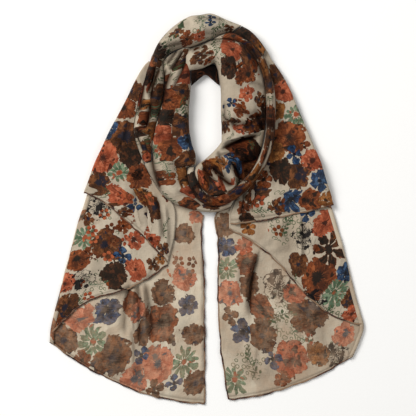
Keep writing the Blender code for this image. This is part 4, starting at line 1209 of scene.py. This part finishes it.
def rise(value, low, high, least=0.0, most=1.0):
    """A smooth rise from least to most as the value goes from low to high."""
    inputs = {0: value, 1: low, 2: high, 3: least, 4: most}
    return node("ShaderNodeMapRange", inputs, interpolation_type="SMOOTHSTEP")


def noise(vector, scale, detail=2.0, roughness=0.5):
    """A noise texture's level. Its other output is its colour."""
    inputs = {"Vector": vector, "Scale": scale, "Detail": detail, "Roughness": roughness}
    return node("ShaderNodeTexNoise", inputs)


def lot_of(number):
    """A random number from 0 to 1 that belongs to a number."""
    return node("ShaderNodeTexWhiteNoise", {"W": number}, noise_dimensions="1D")


def attribute(tree, name, output):
    """A mesh attribute's number or vector."""
    return node("ShaderNodeAttribute", {}, tree, output, attribute_name=name)


def colour_steps(factor, colours):
    """A ramp that gives one of several colours in even steps."""
    made = node("ShaderNodeValToRGB", {0: factor})
    ramp = made.socket.node.color_ramp
    ramp.interpolation = "CONSTANT"
    while len(ramp.elements) < len(colours):
        ramp.elements.new(1.0)
    for index, colour in enumerate(colours):
        ramp.elements[index].position = index / len(colours)
        ramp.elements[index].color = linear(colour)
    return made


def group_tree(name, inputs, outputs):
    """A new node group: the values that go into it, by name, and its output node's sockets."""
    tree = bpy.data.node_groups.new(name, "ShaderNodeTree")
    for direction, sockets in (("INPUT", inputs), ("OUTPUT", outputs)):
        for label, kind in sockets.items():
            tree.interface.new_socket(label, in_out=direction, socket_type="NodeSocket" + kind)
    given = tree.nodes.new("NodeGroupInput").outputs
    result = tree.nodes.new("NodeGroupOutput").inputs
    return {label: Value(given[label]) for label in inputs}, result


def printed_group(name, wave, drift):
    """A group for one printed thing: its own noise place, its place bent in waves, its form,
    its tint, its seed and where its colour and cover go."""
    inputs = {"Place": "Vector", "Form": "Vector", "Tint": "Vector"}
    given, result = group_tree(name, inputs, {"Colour": "Color", "Cover": "Float"})
    form, tint = parts(given["Form"]), parts(given["Tint"])
    seed = tint[1] * SEED_SPREAD
    own = moved(given["Place"], joined(seed, seed, seed))
    aside = moved(noise(own, wave).output("Color"), (0.5, 0.5, 0.5), "SUBTRACT")
    return own, moved(given["Place"], scaled(aside, drift)), form, tint, seed, result


def petal_field(place, seed, form, turn, pointed):
    """The place on a petal: how deep inside it, along it, across it, its lot and its angle."""
    petals, middle, breadth = form
    radius, angle = polar(place)
    angle = angle + turn
    half = math.pi / petals
    lean = reckon("WRAP", angle, half, half * -1.0)
    number = reckon("FLOORED_MODULO", (angle - lean) / half + 0.5, petals * 2.0)
    lot = lot_of(reckon("FLOOR", number) + seed)
    grown = lot * PETAL_VARIES + (1 - PETAL_VARIES * 0.6)
    along = radius * reckon("COSINE", lean) / grown
    across = radius * reckon("SINE", lean) / grown
    length = (along - middle) / (1.0 - middle)
    width = across / (breadth * (along * 0.6 + 0.55))
    square = length * length
    round_gap = reckon("SQRT", width * width + square)
    depth = 1.0 - mixed(pointed, round_gap, square + abs(width))
    return depth, along, across, lot, angle


def motif_group():
    """One printed flower round the middle of its own map: its colour and its cover."""
    own, place, form, tint, seed, result = printed_group("printed motif", wave=1.3, drift=0.42)
    pointed = reckon("COMPARE", tint[2], POINTED, 0.4)
    inked = reckon("COMPARE", tint[2], INKED, 0.4)
    radius = polar(place)[0]
    depth, along, across, lot, angle = petal_field(place, seed, form, 0.0, pointed)
    half = math.pi / form[0]
    inner = petal_field(scaled(place, 1.8), seed + 3.3, form, half, pointed)[0]
    lobes = rise(noise(own, 3.6, 1.0), 0.25, 0.75, -0.17, 0.17)
    ragged = noise(own, 11.0, 2.0, 0.55)
    depth = depth + lobes + rise(ragged, 0.3, 0.7, -0.04, 0.04)
    solid = rise(reckon("MAXIMUM", depth, (CORE_RADIUS - radius) * 4.0), 0.0, 0.06)

    # its wash of colour, and brush strokes along the petals
    body, deep, light, heart = (
        colour_steps(tint[0], colours)
        for colours in (BODY_COLOURS, DEEP_COLOURS, LIGHT_COLOURS, HEART_COLOURS)
    )
    wash = rise(noise(own, 1.9, 4.0, 0.6), 0.42, 0.60)
    near_middle = rise(along, 0.65, 0.15, 0.0, 0.4)
    colour = blend(reckon("ADD", wash * 0.55 + lot * 0.35, near_middle, clamp=True), body, deep)
    brush = noise(joined(across * 13.0, along * 2.2, lot * 9.0 + seed), 1.0, 3.0, 0.6)
    colour = blend(rise(brush, 0.54, 0.66, 0.0, 0.65), colour, deep)
    colour = blend(rise(brush, 0.45, 0.33, 0.0, 0.5), colour, light)
    colour = blend(rise(abs(inner + lobes), 0.12, 0.03, 0.0, 0.4), colour, deep)
    rim = blend(pointed, deep, linear(BODY_COLOURS[0]))
    colour = blend(rise(depth, 0.20, 0.03, 0.0, 0.7), colour, rim)

    # light patches, scribbled lines, dark specks and blots, and the heart
    lit = rise(noise(moved(own, (1.7, 8.3, 2.9)), 3.1, 3.0, 0.6), 0.50, 0.58)
    colour = blend(lit * rise(lot, 0.7, 0.4, 0.05, 0.6), colour, light)
    scribble = abs(depth + rise(ragged, 0.3, 0.7, -0.12, 0.12) - 0.24)
    scribble = rise(scribble, 0.05, 0.02) * rise(lot, 0.35, 0.6)
    colour = blend(scribble * 0.55, colour, light)
    specks = node("ShaderNodeTexVoronoi", {"Vector": own, "Scale": 8.5}, output="Distance")
    clusters = noise(own, 1.5, 1.0)
    colour = blend(rise(specks, 0.30, 0.18, 0.0, 0.85) * rise(clusters, 0.48, 0.56), colour, heart)
    blot = noise(moved(own, (5.3, 2.1, 7.7)), 1.7, 2.0, 0.5)
    colour = blend(rise(blot, 0.60, 0.64, 0.0, 0.9), colour, heart)
    heart_edge = reckon("SINE", angle * 15.0) * 0.05 + (ragged * 0.16 + radius)
    heart_size = tint[1] * 0.20 + 0.14
    colour = blend(rise(heart_edge - heart_size, 0.05, 0.0, 0.0, 0.95), colour, heart)

    # a flower in ink has its outline, strokes and patches only
    outline = rise(abs(depth - 0.07), 0.08, 0.04) * rise(clusters, 0.36, 0.44)
    strokes = rise(abs(reckon("SINE", across * 27.0 + brush * 7.0)), 0.55, 0.8)
    strokes = strokes * rise(ragged * 0.9 + along, 1.15, 0.95)
    drawn = reckon("MAXIMUM", outline, reckon("MAXIMUM", strokes, rise(blot, 0.52, 0.55)))
    cover = mixed(inked, solid, drawn * solid)
    feed(result, {"Colour": blend(inked, colour, linear(INK)), "Cover": cover})
    return result[0].id_data


def sprig_group():
    """A spray of leaves along the x axis of its own map: its colour and its cover."""
    _, place, form, tint, seed, result = printed_group("printed sprig", wave=2.4, drift=0.16)
    spacing, leaf_length, bend = form
    x, y, _ = parts(place)
    off_stem = x * x * bend + y
    aside = abs(off_stem)
    below = off_stem < 0.0
    leaning = aside * -0.8 + x + below * spacing * 0.5
    number = reckon("ROUND", leaning / spacing)
    beside = abs(leaning - number * spacing)
    lot = lot_of(below * 31.0 + number + seed)
    longest = leaf_length * (lot * 0.6 + 0.65) * rise(x, 1.0, 0.1, 0.35, 1.0)
    share = reckon("DIVIDE", aside, longest, clamp=True)
    inside = spacing * 0.36 * reckon("SINE", share * math.pi) - beside
    outline = rise(abs(inside - 0.015), 0.022, 0.012)
    leaf = mixed(lot < tint[2], rise(inside, 0.0, 0.02), outline)
    stem = rise(aside, 0.030, 0.015)
    cover = reckon("MAXIMUM", leaf, stem) * rise(abs(x), 0.95, 0.90)
    tone = rise(inside, 0.05, 0.01, 0.0, 0.5) + lot * 0.5
    colour = blend(tone, colour_steps(tint[0], BODY_COLOURS), colour_steps(tint[0], DEEP_COLOURS))
    feed(result, {"Colour": colour, "Cover": cover})
    return result[0].id_data


def scatter_group():
    """Small things sown over the cloth: the place in each one's own round and its lot."""
    inputs = {"Cloth": "Vector", "Apart": "Float", "Offset": "Vector"}
    given, result = group_tree("sown places", inputs, {"Place": "Vector", "Lot": "Color"})
    grid = moved(scaled(given["Cloth"], 1.0 / given["Apart"]), given["Offset"])
    inputs = {"Vector": grid, "Scale": 1.0, "Randomness": 0.8}
    cells = node("ShaderNodeTexVoronoi", inputs, voronoi_dimensions="2D")
    local = moved(grid, cells.output("Position"), "SUBTRACT")
    turn = colour_parts(cells.output("Color"))[0] * math.tau
    turned = node("ShaderNodeVectorRotate", {"Vector": local, "Angle": turn}, rotation_type="Z_AXIS")
    feed(result, {"Place": turned, "Lot": cells.output("Color")})
    return result[0].id_data


def sown(scatter, cloth, apart, offset):
    """The place in the small thing that is sown nearest, and its three random numbers."""
    inputs = {"Cloth": cloth, "Apart": apart, "Offset": offset}
    place = node("ShaderNodeGroup", inputs, node_tree=scatter)
    return place, colour_parts(place.output("Lot"))


def berry_layer(cloth, beds, scatter, colour):
    """Rings of berries in sage ink where the cloth's beds hold leaves."""
    place, lot = sown(scatter, cloth, BERRY_APART, BERRY_OFFSET)
    ring = abs(polar(place)[0] - (lot[0] * 0.12 + 0.24))
    dense = beds[0] * rise(noise(cloth, 48.0, 1.0), 0.42, 0.50)
    cover = rise(ring, 0.11, 0.05) * (lot[1] < dense)
    return blend(cover * 0.85, colour, linear(BERRY_GREEN))


def blossom_layer(cloth, beds, scatter, colour):
    """Small five-petalled blossoms where the cloth's beds hold them."""
    place, lot = sown(scatter, cloth, BLOSSOM_APART, BLOSSOM_OFFSET)
    radius, angle = polar(place)
    half = math.pi / 5
    lean = reckon("WRAP", angle, half, -half)
    length = (radius * reckon("COSINE", lean) - 0.27) / 0.16
    width = radius * reckon("SINE", lean) / 0.14
    gap = reckon("SQRT", width * width + length * length)
    cover = rise(gap, 1.05, 0.9) * (lot[1] < beds[1] * 0.9)
    heart = rise(radius, 0.26, 0.14, 0.0, 0.8)
    petals = blend(heart, colour_steps(lot[2], BLOSSOM_COLOURS), linear(BLOSSOM_HEART))
    return blend(cover, colour, petals)


def line_layer(cloth, beds, colour):
    """Fine ink strokes where the cloth's beds hold them."""
    bent = moved(cloth, scaled(noise(cloth, 26.0, 1.0).output("Color"), 0.05))
    inputs = {"Vector": bent, "Scale": 60.0, "Distortion": 2.5}
    bands = node("ShaderNodeTexWave", inputs, output="Fac")
    broken = rise(noise(cloth, 70.0, 1.0), 0.46, 0.56)
    return blend(rise(bands, 0.84, 0.95) * broken * beds[2] * 0.9, colour, linear(INK))


def patch_layer(cloth, amount, colour):
    """Brushed patches, close together, where the cloth's beds hold them."""
    cover = rise(noise(cloth, 75.0, 3.0, 0.6) + amount, 1.02, 1.06)
    bent = moved(cloth, scaled(noise(cloth, 60.0, 2.0).output("Color"), 0.02))
    cells = node("ShaderNodeTexVoronoi", {"Vector": bent, "Scale": 75.0}, output="Color")
    patches = colour_steps(colour_parts(cells)[0], PATCHES)
    brushed = rise(noise(cloth, 160.0, 3.0, 0.65), 0.4, 0.62, 0.0, 0.6)
    return blend(cover, colour, blend(brushed, patches, linear(PATCHES[1])))


def print_layer(group, layer, colour):
    """The motifs of one map printed over a colour."""
    tree = colour.socket.id_data
    printed = node("ShaderNodeGroup", {
        "Place": node("ShaderNodeUVMap", {}, tree, uv_map=layer),
        "Form": attribute(tree, f"{layer}_form", "Vector"),
        "Tint": attribute(tree, f"{layer}_tint", "Vector"),
    }, node_tree=group)
    return blend(printed.output("Cover") * PRINT_STRENGTH, colour, printed.output("Colour"))


def new_finish(name):
    """A new material with its tree and its shader's sockets."""
    material = bpy.data.materials.new(name)
    material.use_nodes = True
    tree = material.node_tree
    return material, tree, tree.nodes["Principled BSDF"].inputs


def bumped(height, strength, distance, **more):
    """A normal with a height as its relief."""
    return node("ShaderNodeBump", {"Strength": strength, "Distance": distance, "Height": height, **more})


def muslin(name, groups, faded):
    """Soft printed muslin. The faded finish is the wrong side, with the print shining through."""
    motif, sprig, scatter = groups
    material, tree, shader = new_finish(name)
    cloth = node("ShaderNodeUVMap", {}, tree, uv_map="cloth")
    beds = parts(attribute(tree, "garden", "Vector"))
    # painted shade in grooves and along the loop's fold sides, with the stitch line near a hem
    painted_shade_and_stitches = attribute(tree, "painted_shade_and_stitches", "Fac")
    ground = linear(FADED_GROUND if faded else GROUND)
    mottle = rise(noise(cloth, 11.0, 3.0, 0.55), 0.35, 0.65)
    colour = blend(mottle, ground, linear(GROUND_SHADE))
    below = noise(moved(cloth, (3.3, 1.7, 0.0)), 15.0, 2.0, 0.5)
    colour = blend(rise(below, 0.56, 0.60, 0.0, SHOW_THROUGH), colour, linear(BELOW))
    colour = patch_layer(cloth, attribute(tree, "painted", "Fac"), colour)
    colour = berry_layer(cloth, beds, scatter, colour)
    colour = print_layer(motif, "bloom", colour)
    colour = blossom_layer(cloth, beds, scatter, colour)
    colour = print_layer(motif, "flower", colour)
    colour = print_layer(sprig, "spray", colour)
    colour = line_layer(cloth, beds, colour)
    warp_slub, weft_slub = (
        noise(node("ShaderNodeMapping", {"Vector": cloth, "Scale": stretch}), 1.0, 2.0)
        for stretch in (WARP_STRETCH, WEFT_STRETCH)
    )
    if faded:
        veil = noise(cloth, 70.0, 4.0, 0.65) * 0.72 + weft_slub * 0.28
        veil = rise(veil, 0.38, 0.62, FADED_LEAST, FADED_MOST)
        # no faded veil where painted shade darkens the cloth
        veil = veil * reckon("SUBTRACT", 1.0, painted_shade_and_stitches, clamp=True)
        colour = blend(veil, colour, linear(FADED_VEIL))
    slub = (warp_slub + weft_slub) * 0.5
    tone = rise(slub, 0.35, 0.65, 0.92, 1.06)
    tone = node("ShaderNodeCombineColor", {0: tone, 1: tone, 2: tone})
    colour = blend(1.0, colour, tone, "MULTIPLY")
    # painted shade: darker in grooves and along fold sides; also the dark stitch line near a hem
    colour = blend(painted_shade_and_stitches, colour, linear(SHADE_AND_STITCH_TONE), "MULTIPLY")

    inputs = {"Vector": cloth, "Scale": THREADS_PER_METRE, "Distortion": 0.6}
    weave = reckon("MAXIMUM", *(
        node("ShaderNodeTexWave", inputs, output="Fac", bands_direction=direction)
        for direction in ("X", "Y")
    ))
    threads = bumped(weave * 0.35 + slub, 0.35, 0.0003)
    pucker = bumped(noise(cloth, 130.0, 3.0, 0.6), 0.7, 0.0018, Normal=threads)
    feed(shader, {
        "Base Color": colour, "Normal": pucker, "Roughness": 0.9, "Specular IOR Level": 0.06,
        "Sheen Weight": 0.02, "Sheen Roughness": 0.5,
    })
    return material


def hem_finish():
    """Dark brown overlocked thread along a rolled hem."""
    material, tree, shader = new_finish(HEM_FINISH)
    place = node("ShaderNodeTexCoord", {}, tree, "Object")
    stitches = noise(place, 420.0, 2.0)
    colour = blend(rise(stitches, 0.4, 0.6), linear(HEM_DARK), linear(HEM_BROWN))
    worn = rise(noise(place, 24.0, 3.0), 0.48, 0.57, 0.0, 0.75)
    colour = blend(worn, colour, linear(HEM_PALE))
    feed(shader, {"Base Color": colour, "Normal": bumped(stitches, 0.6, 0.0006), "Roughness": 0.85})
    return material


def floor_finish():
    """Plain pale paper."""
    material, tree, shader = new_finish("stage_paper")
    grain = noise(node("ShaderNodeTexCoord", {}, tree, "Object"), 300.0, 2.0)
    colour = blend(grain, linear(FLOOR_PALE), linear(FLOOR_LIGHT))
    feed(shader, {"Base Color": colour, "Roughness": 0.9})
    return material


# ---- the add-on

def settings():
    """The sizes and colours that a user may change."""
    return bpy.context.scene.scarf_settings


def step_size():
    """The distance between a sheet's points, in mm."""
    return settings().fineness / MM


class ScarfSettings(bpy.types.PropertyGroup):
    fineness: bpy.props.FloatProperty(
        name="Fineness", description="Distance between the points of a sheet",
        default=FINE_STEP * MM, min=0.001, max=0.01, subtype="DISTANCE", unit="LENGTH",
    )
    light: bpy.props.FloatProperty(
        name="Light", description="Strength of the studio light", default=1.0, min=0.1, max=5.0,
    )
    frame_width: bpy.props.FloatProperty(
        name="Frame width", description="How much of the floor the picture shows",
        default=FRAME_WIDTH, min=0.3, max=2.0, subtype="DISTANCE", unit="LENGTH",
    )


def finish(name):
    """A finish by name, made when it is first asked for."""
    made = bpy.data.materials.get(name)
    if made:
        return made
    if name == HEM_FINISH:
        return hem_finish()
    known = bpy.data.node_groups
    groups = (
        known.get("printed motif") or motif_group(),
        known.get("printed sprig") or sprig_group(),
        known.get("sown places") or scatter_group(),
    )
    return muslin(name, groups, faded=name == FADED_FINISH)


def declare(piece, node_name, hems=()):
    """Put a sheet in the frame in place of its solid, with its hems."""
    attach(piece, "root")
    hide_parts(node_name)
    for hem in hems:
        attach(hem, "root")


def make_loop_piece(part):
    """One stretch of the loop."""
    form = loop_form(part.rows, part.folds, part.seed, part.start_bow)
    piece = cloth_piece(part.name + "_cloth", form, part.motifs, part.beds, finish(PRINTED_FINISH))
    declare(piece, part.name)


def make_end(side, layers):
    """Both sides share this: three layers of an end, with their hems."""
    folds, below = [], []
    for layer in ("under", "middle", "top"):
        rows, own_folds, motifs, beds = layers[layer]
        folds = folds + own_folds
        name = f"{side}_tail_{layer}"
        form = tail_form(rows, layer, folds, TAIL_SEED[side])
        finish_name = FADED_FINISH if layer == "under" else PRINTED_FINISH
        piece = cloth_piece(name + "_cloth", form, motifs, beds, finish(finish_name))
        hems = [hem_piece(name + "_hem", hem_path(form, -1), finish(HEM_FINISH))]
        if layer == "under":
            path = edge_path(form, 0, INNER_EDGE_FROM[side], 1.0)
            hems.append(hem_piece(name + "_edge", path, finish(HEM_FINISH)))
        declare(piece, name, hems)
        below = [piece]


# The cut of each stretch that shows, in metres: its widest, its longest and its area,
# which is less than the two multiplied because the stretches taper.
Cut = namedtuple("Cut", "width length area")

LoopPart = namedtuple("LoopPart", "name rows folds motifs beds seed start_bow")
LOOP_PARTS = [
    LoopPart("loop_top_band", TOP_BAND, TOP_BAND_FOLDS, TOP_BAND_PRINT, TOP_BAND_BEDS, 3, 0.0),
    LoopPart(
        "loop_left_outer_folds", LEFT_OUTER_FOLDS, LEFT_OUTER_FOLD_LINES, LEFT_OUTER_PRINT,
        LEFT_OUTER_BEDS, 5, 0.0,
    ),
    LoopPart(
        "loop_left_band", LEFT_BAND, LEFT_BAND_FOLDS, LEFT_BAND_PRINT, LEFT_BAND_BEDS, 8,
        LEFT_BAND_TOP_BOW,
    ),
    LoopPart("loop_rim", RIM, RIM_FOLDS, RIM_PRINT, RIM_BEDS, 13, 0.0),
    LoopPart("loop_right_band", RIGHT_BAND, RIGHT_BAND_FOLDS, RIGHT_BAND_PRINT, RIGHT_BAND_BEDS, 17, 0.0),
    LoopPart("loop_front_knot", FRONT_KNOT, FRONT_KNOT_FOLDS, FRONT_KNOT_PRINT, FRONT_KNOT_BEDS, 21, 0.0),
    LoopPart("loop_neck_back", NECK_BACK, NECK_BACK_FOLDS, NECK_BACK_SHADE_PRINT, NECK_BACK_SHADE_BEDS, 25, 0.0),
    LoopPart(
        "loop_right_shoulder", RIGHT_SHOULDER, RIGHT_SHOULDER_FOLDS, RIGHT_SHOULDER_PRINT, [], 29, 0.0,
    ),
]
LEFT_END = {
    "under": (LEFT_UNDER, LEFT_UNDER_FOLDS, LEFT_UNDER_PRINT, LEFT_UNDER_BEDS),
    "middle": (LEFT_MIDDLE, LEFT_MIDDLE_FOLDS, LEFT_MIDDLE_PRINT, LEFT_MIDDLE_BEDS),
    "top": (LEFT_TOP, LEFT_TOP_FOLDS, LEFT_TOP_PRINT, LEFT_TOP_BEDS),
}
RIGHT_END = {
    "under": (RIGHT_UNDER, RIGHT_UNDER_FOLDS, RIGHT_UNDER_PRINT, RIGHT_UNDER_BEDS),
    "middle": (RIGHT_MIDDLE, RIGHT_MIDDLE_FOLDS, RIGHT_MIDDLE_PRINT, RIGHT_MIDDLE_BEDS),
    "top": (RIGHT_TOP, RIGHT_TOP_FOLDS, RIGHT_TOP_PRINT, RIGHT_TOP_BEDS),
}


class SCARF_OT_loop(bpy.types.Operator):
    """Lay the eight stretches of the loop round the neck hole"""

    bl_idname = "scarf.loop"
    bl_label = "Loop"

    def execute(self, context):
        for part in LOOP_PARTS:
            make_loop_piece(part)
        return {"FINISHED"}


class SCARF_OT_left_end(bpy.types.Operator):
    """Lay the three layers of the left end, with their hems"""

    bl_idname = "scarf.left_end"
    bl_label = "Left end"

    def execute(self, context):
        make_end("left", LEFT_END)
        return {"FINISHED"}


class SCARF_OT_right_end(bpy.types.Operator):
    """Lay the three layers of the right end, with their hems"""

    bl_idname = "scarf.right_end"
    bl_label = "Right end"

    def execute(self, context):
        make_end("right", RIGHT_END)
        return {"FINISHED"}


def studio_light(name, place, power, size):
    """A soft square light aimed at the scarf."""
    lamp = bpy.data.lights.new(name, "AREA")
    lamp.energy = power * settings().light
    lamp.size = size
    lamp.color = LAMP_COLOUR
    light = new_object(name, lamp)
    light.location = place
    light.rotation_euler = (-Vector(place)).to_track_quat("-Z", "Y").to_euler()


class SCARF_OT_stage(bpy.types.Operator):
    """Add the pale floor, soft studio light and the camera"""

    bl_idname = "scarf.stage"
    bl_label = "Stage"

    def execute(self, context):
        bm = bmesh.new()
        bmesh.ops.create_grid(bm, x_segments=2, y_segments=2, size=FLOOR_SIZE / 2)
        bmesh.ops.translate(bm, vec=(0, 0, -FLOOR_DROP), verts=bm.verts)
        mesh = mesh_of(bm, "floor")
        mesh.materials.append(floor_finish())
        floor = new_object("floor", mesh)
        studio_light("key", KEY_PLACE, KEY_POWER, KEY_SIZE)
        studio_light("fill", FILL_PLACE, FILL_POWER, FILL_SIZE)
        world = bpy.data.worlds.new("studio")
        world.use_nodes = True
        background = world.node_tree.nodes["Background"]
        background.inputs["Color"].default_value = (1.0, 1.0, 1.0, 1.0)
        background.inputs["Strength"].default_value = WORLD_LIGHT * settings().light
        context.scene.world = world
        context.scene.view_settings.view_transform = "Standard"
        lens = bpy.data.cameras.new("camera")
        lens.sensor_width = SENSOR
        lens.lens = SENSOR * CAMERA_HEIGHT / settings().frame_width
        lens.clip_end = CLIP_END
        camera = new_object("camera", lens)
        camera.location = (*CAMERA_AIM, CAMERA_HEIGHT)
        context.scene.camera = camera
        return {"FINISHED"}


class SCARF_PT_panel(bpy.types.Panel):
    """The scarf's pieces and settings"""

    bl_label = "Muslin scarf"
    bl_idname = "SCARF_PT_panel"
    bl_space_type = "VIEW_3D"
    bl_region_type = "UI"
    bl_category = "Scarf"

    def draw(self, context):
        layout = self.layout
        for label in ("fineness", "light", "frame_width"):
            layout.prop(settings(), label)
        for operator in OPERATORS:
            layout.operator(operator.bl_idname)


OPERATORS = (SCARF_OT_loop, SCARF_OT_left_end, SCARF_OT_right_end, SCARF_OT_stage)
CLASSES = (ScarfSettings, *OPERATORS, SCARF_PT_panel)


def register():
    for item in CLASSES:
        bpy.utils.register_class(item)
    bpy.types.Scene.scarf_settings = bpy.props.PointerProperty(type=ScarfSettings)


def unregister():
    del bpy.types.Scene.scarf_settings
    for item in reversed(CLASSES):
        bpy.utils.unregister_class(item)


def main():
    register()
    bpy.ops.scarf.loop()
    bpy.ops.scarf.left_end()
    bpy.ops.scarf.right_end()
    bpy.ops.scarf.stage()


if __name__ == "__main__":
    main()
